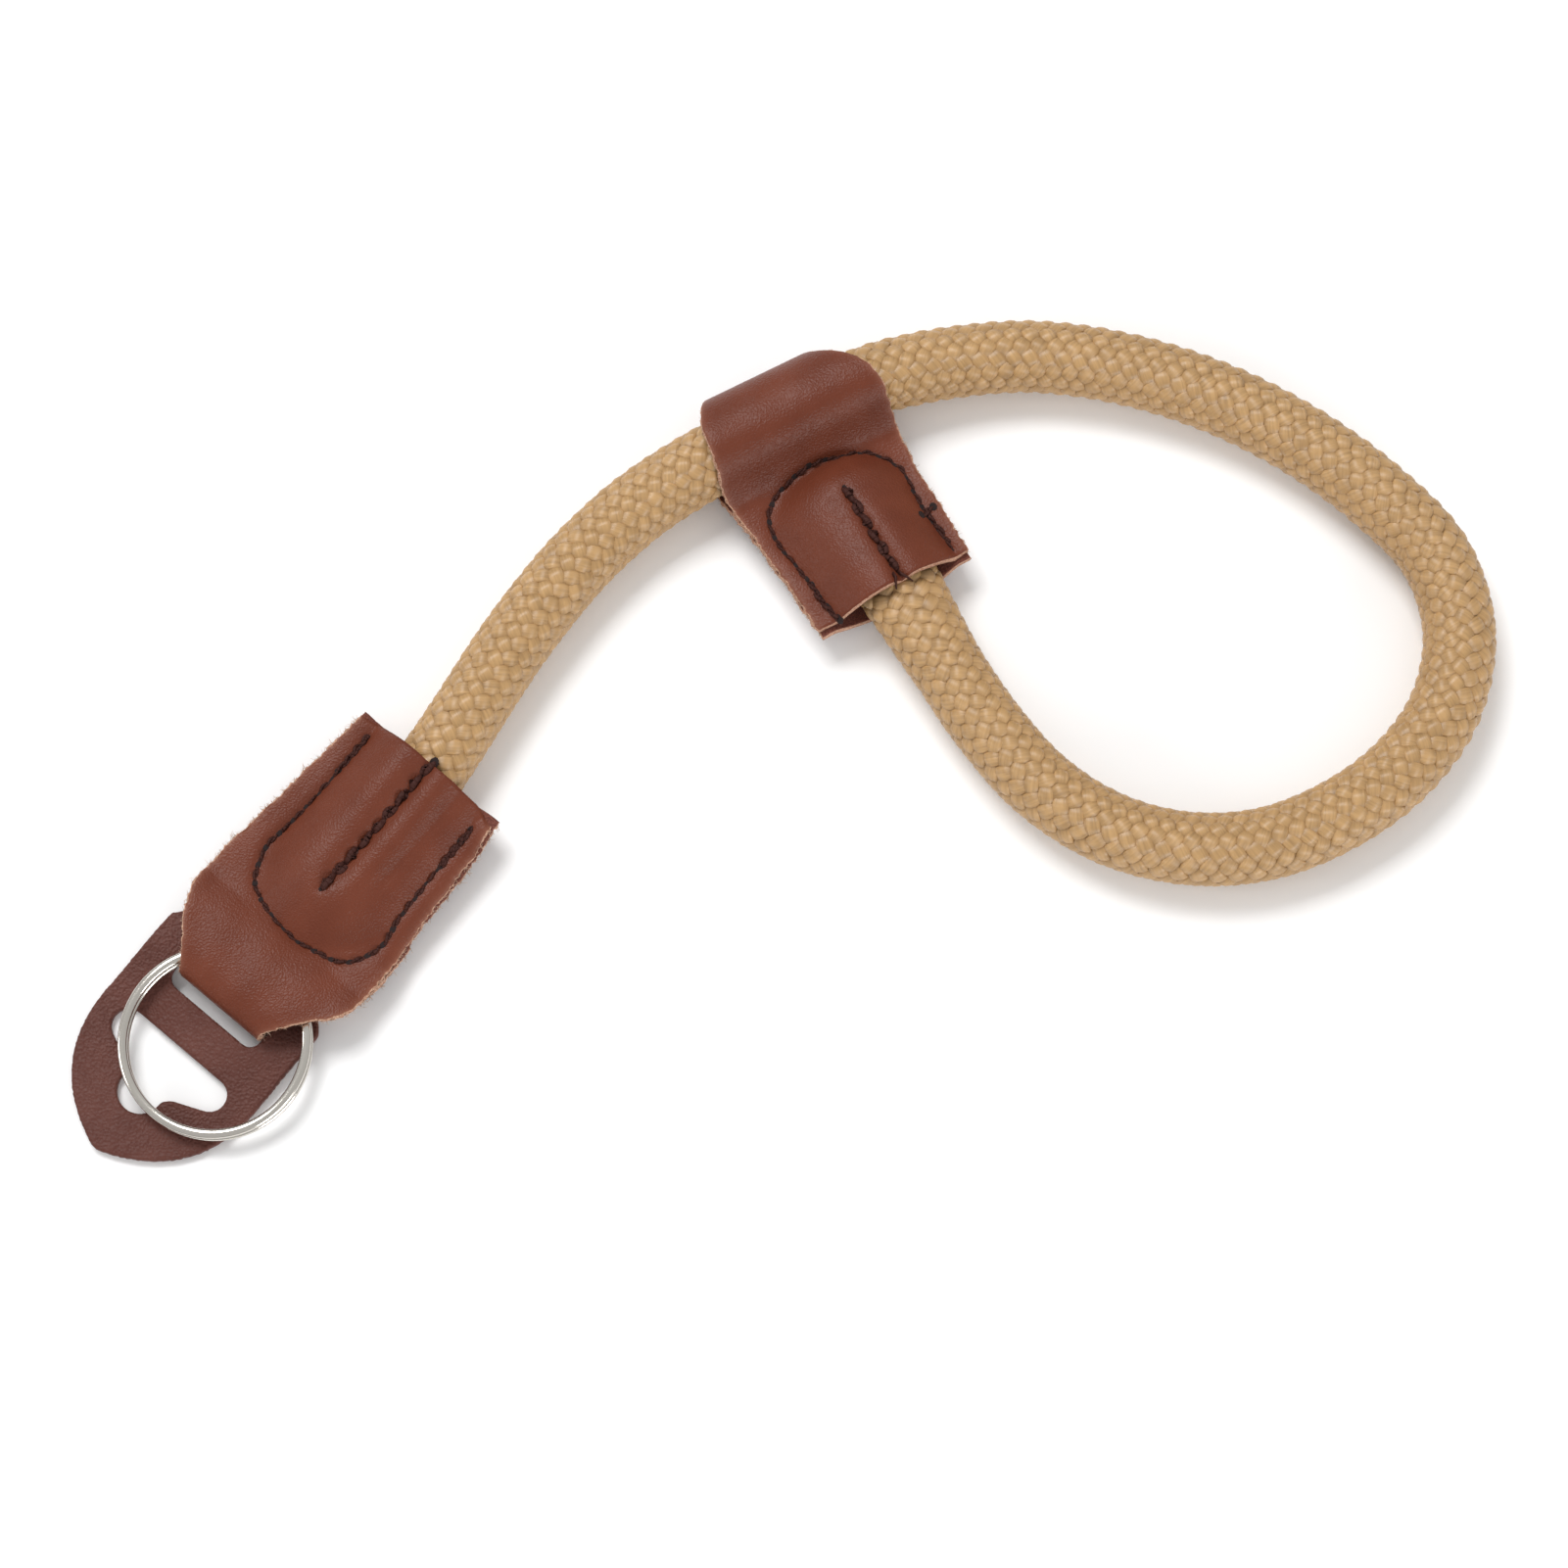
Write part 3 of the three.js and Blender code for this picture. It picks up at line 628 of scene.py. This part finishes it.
def cut_guard():
    rng = np.random.default_rng(5)
    loops = [even_loop(loop, 0.3, 2) for loop in guard_loops()]
    loops[0] += loop_outward(loops[0], False) * rng.normal(
        0, GUARD_EDGE_ROUGHNESS, (len(loops[0]), 1))
    flat = [loop - loop_outward(loop, k > 0) * GUARD_EDGE[0][0] for k, loop in enumerate(loops)]

    def on_leather(places):
        return inside(flat[0], places) & ~inside(flat[1], places) & ~inside(flat[2], places)

    step = GUARD_MESH_STEP
    s, v = np.meshgrid(np.arange(33, 67, step), np.arange(-14, 13, step))
    s[1::2] += step / 2
    fill = np.stack([s.ravel(), v.ravel()], 1)
    fill = fill[on_leather(fill)]
    rim = np.concatenate(flat)
    far = np.min(np.linalg.norm(fill[:, None] - rim[None], axis=2), axis=1) > 0.25
    flat_places = np.concatenate([rim, fill[far]])
    edges, at = [], 0
    for loop in flat:
        n = len(loop)
        edges += [(at + i, at + (i + 1) % n) for i in range(n)]
        at += n
    found = delaunay_2d_cdt([Vector(p) for p in flat_places], edges, [], 0, 1e-6, False)
    triangles = np.array(found[2])
    flat_places = np.array([tuple(p) for p in found[0]])
    triangles = triangles[on_leather(flat_places[triangles].mean(axis=1))]

    def height(places, down):
        wave = 0.05 * np.sin(places[:, 0] * 0.7 + 1) * np.sin(places[:, 1] * 0.5)
        rise = between(GUARD_UNDERSIDE, 1, places[:, 0])
        return rise + (GUARD_THICKNESS - down) + wave * (1 - down / GUARD_THICKNESS)

    places, faces, count = [], [], 0
    for down, flip in ((0, False), (GUARD_THICKNESS, True)):
        places.append(np.column_stack([flat_places, height(flat_places, down)]))
        for a, b, c in triangles + count:
            faces.append([a, c, b] if flip else [a, b, c])
        count += len(flat_places)
    for k, loop in enumerate(loops):
        outward = loop_outward(loop, k > 0)
        n = len(loop)
        rows = [count + i * n for i in range(len(GUARD_EDGE))]
        for inset, down in GUARD_EDGE:
            ring_places = loop - outward * inset
            places.append(np.column_stack([ring_places, height(ring_places, down)]))
            count += n
        hand = 1 if (np.cross(loop[0] - loop[1], outward[0]) > 0) else -1
        for a, b in zip(rows, rows[1:]):
            for i in range(n):
                face = [a + i, a + (i + 1) % n, b + (i + 1) % n, b + i]
                faces.append(face[::hand])
    places = from_strip(TAB_MOUTH, TAB_HEADING, np.concatenate(places))
    return add_piece("guard_leather_piece", places, faces, [guard_material()])


guard = cut_guard()
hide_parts("camera_guard")

# ---- Ring tab ------------------------------------------------------------------------------
# One strip of smooth brown leather folded through the ring and the guard. Its leaves close
# over the pressed rope end, sewn by a U-shaped seam and a centre seam in dark brown thread.

STRIP_THICKNESS = 1.0
NAP_DEPTH = 0.25
EDGE_ROUGHNESS = 0.07
FIBRE_THICKNESS = (0.025, 0.055)
WORN_BAND = 0.35  # how far in from a cut edge the grain is paler
POCKET_FLATNESS, POCKET_EASE = 2.6, 1.4  # powers that shape the leaf over the rope's end
RECESS_BAND = (8, 11.4)  # distances aside between which a mouth's corner is cut back
U_SEAM_GROOVE = (0.34, 0.7)  # depth and half width of the groove a seam pulls in
CENTRE_SEAM_GROOVE = (0.3, 0.55)
RING_TAB = {
    "mouth": TAB_MOUTH, "heading": TAB_HEADING, "crest": 41.5, "fold_power": 0.72,
    "fold_skew": 0, "lower_neck": 3, "lower_overhang": 0.5,
    "pocket": (9.9, 9, 20, 28.9),  # left, right, start and end of the arc
    "leaves": [  # s, middle, half the distance apart, bulge
        (-2, 5.4, 0.56, 4.25), (0, 5.3, 0.56, 4.15), (10, 4.8, 0.56, 3.6),
        (20, 4.35, 0.56, 3), (25, 4.2, 0.56, 2.5), (28.9, 4.2, 0.64, 2),
        (30.6, 3.45, 1.95, 0), (32, 3.25, 2.6, 0), (33.5, 3.33, 2.83, 0),
        (36.5, 3.42, 2.92, 0)],
    "outline": [  # s, left, right
        (-2, 11.2, 11.2), (0, 11.4, 11.4), (6.5, 12.2, 12), (19.5, 13, 13.1),
        (27, 13.8, 13.8), (31, 13.7, 13.8), (33.2, 12.8, 13), (36, 10.5, 11.3),
        (40, 7.4, 8.2), (42, 5.9, 6.7)],
    "u_seam": [
        (2, -8.9), (11.2, -8.9), (16.5, -9.2), (21.6, -9.7), (26.2, -7.9), (27.8, -5.3),
        (28.4, -2.4), (28.9, 1), (28.3, 5), (27.4, 7.9), (25.7, 9.7), (22.2, 10.8),
        (18.5, 10.2), (14.9, 10), (12.3, 9.8), (6.7, 9.7), (2.1, 9.6)],
    "centre_seam": [(21.8, 0.2), (13.2, 0.4), (6.8, 0.7), (-0.6, 0.9)],
    # furrows along s: v, depth, half width, where they end
    "furrows": [(0.5, 1.15, 1.5, 21.5), (5.7, 0.55, 1.1, 19), (-1.6, 0.25, 1.2, 18)],
    "curl": (1, 12, 2.2, 0.7),  # s, v, reach and height of a lifted corner
    "droop": (10, 13.6, 1.3, 26),  # v where the margin turns down, its edge, drop, end
    "mouth_recess": (0.5, 0.9),  # how far the corners are cut back, right and left
}


class FoldedStrip:
    """A leather strip folded over: s runs from its mouth to the fold, v to the left."""

    def __init__(self, facts, seed):
        self.__dict__.update(facts)
        self.fold_start = self.leaves[-1][0]
        self.rng = np.random.default_rng(seed)
        self.u_line = self.seam_line(self.u_seam)
        self.centre_line = self.seam_line(self.centre_seam)

    @staticmethod
    def seam_line(points, spacing=0.12):
        curve = smooth_route(points, 30)
        along = lengths_along(curve)
        at = np.linspace(0, along[-1], int(along[-1] / spacing))
        return np.stack([np.interp(at, along, curve[:, k]) for k in range(2)], 1)

    def laid(self, places):
        return from_strip(self.mouth, self.heading, places)

    def fullness(self, s, v):
        left, right, arc_start, arc_end = self.pocket
        across = v / np.where(v > 0, left, right)
        past = np.maximum(0, s - arc_start) / (arc_end - arc_start)
        reach = np.minimum(1, np.hypot(across, past))
        return (1 - reach ** POCKET_FLATNESS) ** POCKET_EASE

    def relief(self, s, v):
        """What the seams and the rope's pressed end do to the upper leaf."""
        depth = np.zeros_like(s)
        for at, deep, half_width, end in self.furrows:
            fade = 1 - smoothstep(end - 5, end + 1.5, s)
            depth -= deep * fade * np.exp(-((v - at) / half_width) ** 2)
        places = np.stack([s.ravel(), v.ravel()], 1)
        for line, (deep, half_width) in ((self.u_line, U_SEAM_GROOVE),
                                         (self.centre_line, CENTRE_SEAM_GROOVE)):
            near = line[::3]
            away = np.concatenate([
                np.min(np.linalg.norm(part[:, None] - near[None], axis=2), axis=1)
                for part in np.array_split(places, 40)]).reshape(s.shape)
            depth -= deep * np.exp(-(away / half_width) ** 2)
        wave = np.sin(0.55 * s + 1.3) * np.sin(0.42 * v + 0.4) + np.sin(0.9 * v - 0.33 * s)
        return depth + 0.05 * wave

    def curl_and_droop(self, s, v):
        """How far a corner curls up and the left margin turns down."""
        at_s, at_v, reach, height = self.curl
        away = np.hypot(s - at_s, v - at_v) / reach
        start, edge, drop, end = self.droop
        turned_down = drop * smoothstep(start, 2 * edge - start, v) * 2
        return height * np.exp(-away ** 2) - turned_down * (1 - smoothstep(end - 6, end, s))

    def leaf_height(self, s, v, side):
        middle = between(self.leaves, 1, s)
        half = between(self.leaves, 2, s)
        bulge = between(self.leaves, 3, s) * self.fullness(s, v)
        z = middle + side * (half + bulge) + self.curl_and_droop(s, v)
        if side > 0:
            z = z + self.relief(s, v)
        return np.maximum(z, STRIP_THICKNESS / 2 + 0.02)

    def skewed(self, s, v):
        return s + self.fold_skew * smoothstep(self.pocket[2], self.fold_start, s) * v

    def upper(self, s, v, rise=0.0):
        """Places on the grain of the upper leaf, "rise" above it, and the way out of it."""
        s, v, small = np.asarray(s, float), np.asarray(v, float), 0.05

        def at(ds, dv):
            a, b = s + ds, v + dv
            return np.stack([self.skewed(a, b), b, self.leaf_height(a, b, 1)], -1)

        normal = unit(np.cross(at(small, 0) - at(-small, 0), at(0, small) - at(0, -small)))
        place = at(0, 0) + normal * (STRIP_THICKNESS / 2 + np.asarray(rise)[..., None])
        return place, normal

    def grid(self, step=0.42, fold_steps=36, lanes=62):
        """The strip's middle surface: the lower leaf, the fold, then the upper leaf."""
        top, flat = self.fold_start, self.leaves[-1]
        down = np.linspace(-self.lower_overhang, top, int((top + self.lower_overhang) / step))
        up = np.linspace(top, 0, int(top / step))
        turn = np.linspace(0, math.pi, fold_steps)
        reach = np.sin(turn) ** self.fold_power
        rise = -np.sign(np.cos(turn)) * np.abs(np.cos(turn)) ** self.fold_power
        fold_s = top + (self.crest - top) * reach
        s = np.concatenate([down[:-1], fold_s, up[1:]])
        lower = np.concatenate([np.ones(len(down) - 1, bool), rise < 0,
                                np.zeros(len(up) - 1, bool)])
        outline_s = np.where(lower, np.minimum(s + self.lower_neck, self.crest), s)
        wobble = self.edge_wobble(len(s))
        left = between(self.outline, 1, outline_s) + wobble[0]
        right = between(self.outline, 2, outline_s) + wobble[1]
        share = np.linspace(0, 1, lanes + 1)
        v = -right[:, None] + (left + right)[:, None] * share
        s = np.repeat(s[:, None], lanes + 1, 1)
        z = np.empty_like(s)
        a, b = len(down) - 1, len(down) - 1 + fold_steps
        z[:a] = self.leaf_height(s[:a], v[:a], -1)
        z[b:] = self.leaf_height(s[b:], v[b:], 1)
        z[a:b] = (flat[1] + flat[2] * rise)[:, None]
        blend_at = self.leaf_height(s[b:b + 1], v[b:b + 1], 1) - (flat[1] + flat[2])
        z[a:b] += blend_at * smoothstep(math.pi / 2, math.pi, turn)[:, None]
        end_wave = 0.03 * np.cumsum(self.rng.normal(0, 0.5, lanes + 1))
        s[0] += end_wave
        s[-1] -= end_wave[::-1]
        recess = (self.mouth_recess[0] * smoothstep(*RECESS_BAND, -v)
                  + self.mouth_recess[1] * smoothstep(*RECESS_BAND, v))
        s[b:] += recess[b:] * (1 - smoothstep(0, 5, s[b:]))
        return np.stack([self.skewed(s, v), v, z], -1)

    def edge_wobble(self, count):
        fine = self.rng.normal(0, EDGE_ROUGHNESS, (2, count))
        slow = self.rng.normal(0, EDGE_ROUGHNESS, (2, count // 6 + 2)).repeat(6, axis=1)
        return fine + np.stack([np.convolve(row[:count], np.ones(5) / 5, "same") for row in slow])


EDGE_ROWS = [  # across a cut edge: share of the half thickness, how far out it stands
    (0.9, 0.06), (0.5, 0.13), (0, 0.16), (-0.5, 0.13), (-0.9, 0.05),
]


def strip_rings(strip):
    """Rings round the strip's thickness: grain side, one edge, flesh side, other edge."""
    grid = strip.grid()
    along = np.gradient(grid, axis=0)
    across = unit(np.gradient(grid, axis=1))
    normal = unit(np.cross(across, along))
    half = STRIP_THICKNESS / 2
    grain = grid + normal * half
    flesh = grid - normal * half

    def edge(column, outward, rows):
        rough = strip.rng.normal(0, EDGE_ROUGHNESS, (len(grid), len(rows)))
        return [grid[:, column] + normal[:, column] * (half * share)
                + across[:, column] * (outward * (out + rough[:, [k]]))
                for k, (share, out) in enumerate(rows)]

    left = edge(-1, 1, EDGE_ROWS)
    right = edge(0, -1, EDGE_ROWS[::-1])
    return np.concatenate([grain, np.stack(left, 1), flesh[:, ::-1], np.stack(right, 1)], 1)


def lanes_across(rings):
    return rings.shape[1] // 2 - len(EDGE_ROWS) - 1


def strip_mesh(strip, name, materials):
    rings = strip_rings(strip)
    count, size = rings.shape[:2]
    lanes, n = lanes_across(rings), len(EDGE_ROWS)
    i, j = np.meshgrid(np.arange(count - 1), np.arange(size), indexing="ij")
    a, b = i * size + j, i * size + (j + 1) % size
    faces = np.stack([a, a + size, b + size, b], -1).reshape(-1, 4).tolist()
    band = np.full(size, 2)
    band[:lanes] = 0
    band[lanes + 1 + n:lanes + 1 + n + lanes] = 1
    face_material = np.tile(band, count - 1).tolist()
    for row, flip in ((0, 1), (count - 1, -1)):
        base = row * size
        for k in range(lanes):
            under = 2 * lanes + 1 + n - k
            face = [base + k, base + k + 1, base + under - 1, base + under]
            faces.append(face[::flip])
            face_material.append(2)
        left = [base + k for k in range(lanes, lanes + n + 2)]
        right = [base + k for k in range(2 * lanes + n + 1, size)] + [base]
        for corner in (left, right):
            faces.append(corner[::flip])
            face_material.append(2)
    marks = np.zeros((count * size, 4))
    lane = np.arange(size)
    width = np.linalg.norm(rings[:, lanes] - rings[:, 0], axis=1)
    share = np.where(lane <= lanes, lane / lanes,
                     np.where(lane <= lanes + n, 1, (2 * lanes + 1 + n - lane) / lanes))
    share = np.clip(share, 0, 1)
    away = np.minimum(share, 1 - share) * width[:, None]
    marks[:, 0] = np.exp(-away / WORN_BAND).ravel()
    places = strip.laid(rings.reshape(-1, 3))
    return add_piece(name, places, faces, materials, face_material, marks=marks), rings


def edge_fibres(strip, rings, name, material, per_mm, longest):
    """Loose fibres that stand out of the strip's raw cut edges."""
    lanes, n = lanes_across(rings), len(EDGE_ROWS)
    rng = strip.rng
    hairs = Tubes()
    grid = rings[:, :lanes + 1]
    ahead = unit(np.gradient(grid, axis=0))
    for column, rows, outward in ((lanes, slice(lanes + 1, lanes + 1 + n), 1),
                                  (0, slice(2 * lanes + 2 + n, rings.shape[1]), -1)):
        edge = rings[:, rows]
        across = unit(np.gradient(grid, axis=1))[:, column] * outward
        total = lengths_along(edge[:, 2])[-1]
        for _ in range(int(total * per_mm)):
            i = rng.integers(1, len(edge) - 1)
            t = rng.random()
            k = rng.integers(0, n)
            root = edge[i, k] * (1 - t) + edge[i - 1, k] * t
            way = across[i] + rng.normal(0, 0.6, 3) + ahead[i, column] * rng.normal(0, 1.3)
            way = way / np.linalg.norm(way)
            length = longest * rng.random() ** 3 + 0.2
            turn = rng.normal(0, 0.5, 3)
            thick = rng.uniform(*FIBRE_THICKNESS)
            spine = np.array([root - way * 0.05, root + way * length * 0.45,
                              root + way * length * 0.8 + turn * length * 0.2,
                              root + way * length + turn * length * 0.5])
            spine[:, 2] = np.maximum(spine[:, 2], 0.03)
            hairs.add(hair_rings(spine, thick))
    for places in hairs.places:
        places[:] = strip.laid(places)
    return hairs.piece(name, [material])


def hair_rings(spine, thick):
    ahead = unit(np.gradient(spine, axis=0))
    side = unit(np.cross(ahead, (0.3, 0.2, 0.93)))
    other = np.cross(ahead, side)
    taper = np.linspace(1, 0.35, len(spine))[:, None] * thick
    turns = 2 * math.pi * np.arange(3) / 3
    return np.stack([spine + side * taper * math.cos(a) + other * taper * math.sin(a)
                     for a in turns], 1)


def smooth_leather():
    """Brown grain side: soft gloss, paler and drier right beside a cut edge."""
    material, tree, shader, tone = leather_material(
        "brown_grain_leather", dark=(0.124, 0.030, 0.0145), light=(0.152, 0.0385, 0.019),
        roughness=0.37, pebbles=4.2, crease=0.12, depth=0.09)
    new, link = tree.nodes.new, tree.links.new
    marks = new("ShaderNodeVertexColor")
    marks.layer_name = "marks"
    parts = new("ShaderNodeSeparateColor")
    worn = new("ShaderNodeMix")
    worn.data_type = "RGBA"
    worn.inputs["B"].default_value = (0.30, 0.13, 0.085, 1)
    limit = new("ShaderNodeMath")
    limit.operation = "MULTIPLY"
    limit.inputs[1].default_value = 0.5
    link(marks.outputs["Color"], parts.inputs["Color"])
    link(parts.outputs["Red"], limit.inputs[0])
    link(limit.outputs["Value"], worn.inputs["Factor"])
    link(tone, worn.inputs["A"])
    link(worn.outputs["Result"], shader.inputs["Base Color"])
    return material


def rough_leather(name, dark, light):
    """Undyed or dyed fibre, as on a cut edge or the flesh side: matt, napped and uneven."""
    material, tree, shader = new_material(name, roughness=0.85)
    place = tree.nodes.new("ShaderNodeTexCoord")
    nap = add_noise(tree, place.outputs["Object"], 4200, 3).outputs["Fac"]
    tone = two_tone(tree, 0.35, dark, 0.65, light)
    tree.links.new(nap, tone.inputs["Fac"])
    tree.links.new(tone.outputs["Color"], shader.inputs["Base Color"])
    raise_grain(tree, shader, nap, NAP_DEPTH)
    return material


grain_side = smooth_leather()
flesh_side = rough_leather("red_brown_flesh_side", (0.12, 0.03, 0.02), (0.22, 0.07, 0.045))
tan_edge = rough_leather("raw_tan_edge", (0.36, 0.15, 0.09), (0.66, 0.42, 0.29))
edge_fluff = rough_leather("edge_fluff", (0.5, 0.31, 0.21), (0.72, 0.53, 0.4))
brown_thread, _, waxed = new_material("dark_brown_thread", (0.05, 0.0165, 0.0125), 0.6)
waxed.inputs["Specular IOR Level"].default_value = 0.15
# Painted shade: near-black discs sit over the needle holes in place of the shade inside them.
painted_hole_shade = new_material("painted_hole_shade", (0.012, 0.0035, 0.003), 0.9)[0]
PLY_OFFSET = 0.55  # shares of the thread's radius
PLY_RADIUS = 0.62


def sew(strip, seam, points, spec, rng):
    """One run of stitches: a two-ply thread that arches out of one hole and into the next."""
    line = strip.seam_line(points, 0.1)
    along = lengths_along(line)
    count = max(1, round(along[-1] / spec["pitch"]))
    phase = (along / along[-1] * count + spec.get("shift", 0)) % 1
    arch = np.sin(math.pi * phase) ** 0.55
    ahead = unit(np.gradient(line, axis=0))
    left = np.stack([-ahead[:, 1], ahead[:, 0]], 1)
    swaying = np.arange(0, along[-1] + 2, 1.1)
    sway = np.interp(along, swaying, rng.normal(0, 0.05, len(swaying)))
    slant = spec["slant"] * (2 * phase - 1) * np.minimum(1, 8 * phase * (1 - phase))
    path = line + left * (spec.get("aside", 0) + sway + slant)[:, None]
    rise = spec["lift"] * arch - spec["sink"] * (1 - arch)
    place, normal = strip.upper(path[:, 0], path[:, 1], rise)
    forward = unit(np.gradient(place, axis=0))
    side = unit(np.cross(forward, normal))
    up = np.cross(side, forward)
    radius = spec["radius"] * (1 - spec["taper"] * (1 - arch))
    for ply in range(2):
        twist = 2 * math.pi * (along / spec["lay"] + ply / 2)
        centre = place + (side * np.cos(twist)[:, None] + up * np.sin(twist)[:, None]) \
            * (radius * PLY_OFFSET)[:, None]
        turns = 2 * math.pi * np.arange(6) / 6
        rings = np.stack([centre + (side * math.cos(a) + up * math.sin(a))
                          * (radius * PLY_RADIUS)[:, None] for a in turns], 1)
        seam.add(strip.laid(rings))
    # Painted shade at every needle hole.
    for k in range(count + 1):
        i = min(len(line) - 1, int(np.searchsorted(along, along[-1] * k / count)))
        paint_hole_shade(strip, seam, path[i], spec["radius"] * spec["hole_size"], rng)


def paint_hole_shade(strip, seam, at, radius, rng):
    """A dark, slightly oval disc over a needle hole: painted shade for the hole's depth."""
    place, normal = strip.upper(np.array([at[0]]), np.array([at[1]]), np.array([0.0]))
    place, normal = place[0], normal[0]
    side = unit(np.cross(normal, (0.1, 1, 0.2)))
    other = np.cross(normal, side)
    turns = 2 * math.pi * np.arange(10) / 10
    rings = []
    for share, height in ((1, -0.12), (0.95, 0.06), (0.55, 0.11)):
        oval = radius * share * (1 + 0.15 * rng.random())
        level = place + normal * height
        rings.append([level + (side * math.cos(a) + other * math.sin(a) * 0.85) * oval
                      for a in turns])
    seam.add(strip.laid(np.array(rings)), material=1)


STITCH_FACTS = ("pitch", "radius", "lift", "sink", "lay", "slant", "taper", "hole_size")
FINE_STITCH = dict(zip(STITCH_FACTS, (2.5, 0.34, 0.14, 0.6, 3.4, 0.14, 0.45, 1.75)))
BOLD_STITCH = dict(zip(STITCH_FACTS, (2.4, 0.4, 0.26, 0.5, 3.2, 0.18, 0.45, 1.5)))
CENTRE_STITCH = dict(zip(STITCH_FACTS, (2.4, 0.7, 0.3, 0.75, 7, 0.12, 0.35, 1.15)))


def part_of(points, start, end):
    """The part of a seam between two distances along it."""
    line = FoldedStrip.seam_line(points, 0.2)
    along = lengths_along(line)
    keep = (along >= start) & (along <= end)
    return line[keep][::6]


def sew_tab(strip):
    rng = np.random.default_rng(21)
    seam = Tubes()
    length = lengths_along(strip.u_line)[-1]
    sew(strip, seam, strip.u_seam, FINE_STITCH, rng)
    for start, end in ((0, 6.5), (length - 7, length)):
        points = part_of(strip.u_seam, start, end)
        sew(strip, seam, points, {**BOLD_STITCH, "aside": 0.2, "shift": 0.4}, rng)
        sew(strip, seam, points, {**BOLD_STITCH, "aside": -0.15, "shift": 0.1}, rng)
    sew(strip, seam, strip.centre_seam, CENTRE_STITCH, rng)
    return seam.piece("tab_stitches", [brown_thread, painted_hole_shade])


tab_strip = FoldedStrip(RING_TAB, 31)
tab_leather, tab_rings = strip_mesh(tab_strip, "ring_tab_leather",
                                    [grain_side, flesh_side, tan_edge])
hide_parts("ring_tab")
tab_fluff = edge_fibres(tab_strip, tab_rings, "ring_tab_edge_fibres", edge_fluff, 7, 0.75)
sew_tab(tab_strip)

# ---- Slider --------------------------------------------------------------------------------
# The second folded strip closes over the rope's other end, and its fold wraps the passing
# rope, so that the loop draws in round the wrist. It is sewn in the same way.

SLIDER = {
    "mouth": (14.4, 19.2), "heading": 120, "crest": 34.8, "fold_power": 1,
    "fold_skew": 0.052, "lower_neck": 0, "lower_overhang": 0.9,
    "pocket": (10.2, 9.2, 13.5, 21),
    "leaves": [  # each entry is as in the ring tab
        (-3, 5.8, 0.56, 4.65), (0, 5.6, 0.56, 4.45), (8, 5.1, 0.56, 3.95),
        (14, 4.7, 0.56, 3.55), (19, 4.8, 0.56, 3), (20.8, 5.2, 0.78, 0),
        (22.4, 5.5, 2.4, 0), (24.2, 6.1, 4.6, 0), (26, 6.4, 5.75, 0), (28, 6.55, 6.05, 0)],
    "outline": [
        (-3, 11.8, 10.9), (0, 12, 10.9), (8.5, 12.3, 10.9), (16.4, 13, 11),
        (22, 13.8, 11.6), (26, 13.1, 11.8), (30, 12.4, 10.6), (32.7, 11.1, 7.8),
        (35.6, 8.6, 3.6)],
    "u_seam": [
        (0, 8.8), (3.4, 9.4), (6.4, 9.5), (10.1, 10.1), (14.5, 10.6), (17.3, 10),
        (19.2, 8.3), (20.5, 5.3), (21.3, 1.9), (20.9, -1.3), (20, -3.8), (18.3, -6.6),
        (16.1, -8.1), (13.9, -9), (11.2, -8.6), (8.5, -8.4), (6.3, -8.5), (4, -8.7),
        (1, -9.1)],
    "centre_seam": [(15.2, -0.6), (8, -0.5), (1.4, -0.4)],
    "furrows": [(-0.5, 0.5, 1.1, 14), (-0.4, 1.3, 1, 2)],
    "curl": (0, 0, 1, 0),
    "droop": (10.5, 13.5, 0.3, 16),
    "mouth_recess": (0.2, 0.2),
}
THREAD_END_RADIUS = 0.36


def sew_slider(strip):
    rng = np.random.default_rng(22)
    seam = Tubes()
    sew(strip, seam, strip.u_seam, FINE_STITCH, rng)
    length = lengths_along(strip.u_line)[-1]
    for start, end in ((0.2, 7), (length - 6, length - 0.5)):
        points = part_of(strip.u_seam, start, end)
        sew(strip, seam, points, {**BOLD_STITCH, "shift": 0.4}, rng)
    sew(strip, seam, strip.centre_seam, CENTRE_STITCH, rng)
    bar_at_the_edge = [(7.2, -7.6), (7.4, -8.8), (7.7, -10)]
    sew(strip, seam, bar_at_the_edge, BOLD_STITCH, rng)
    for v, aside in ((-1.1, -0.5), (0.5, 0.4)):  # two cut thread ends at the mouth
        spine, _ = strip.upper(np.array([1.2, 0.5, -0.1]), v + aside * np.array([0, 0.4, 0.9]),
                               np.array([0.1, 0.35, 0.2]))
        spine = np.vstack([spine, spine[-1] + (-0.9, aside, -0.5)])
        seam.add(strip.laid(hair_rings(spine, THREAD_END_RADIUS)))
    return seam.piece("slider_stitches", [brown_thread, painted_hole_shade])


slider_strip = FoldedStrip(SLIDER, 32)
slider_leather, slider_rings = strip_mesh(slider_strip, "slider_leather",
                                          [grain_side, flesh_side, tan_edge])
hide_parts("slider")
slider_fluff = edge_fibres(slider_strip, slider_rings, "slider_edge_fibres", edge_fluff, 3, 0.4)
sew_slider(slider_strip)
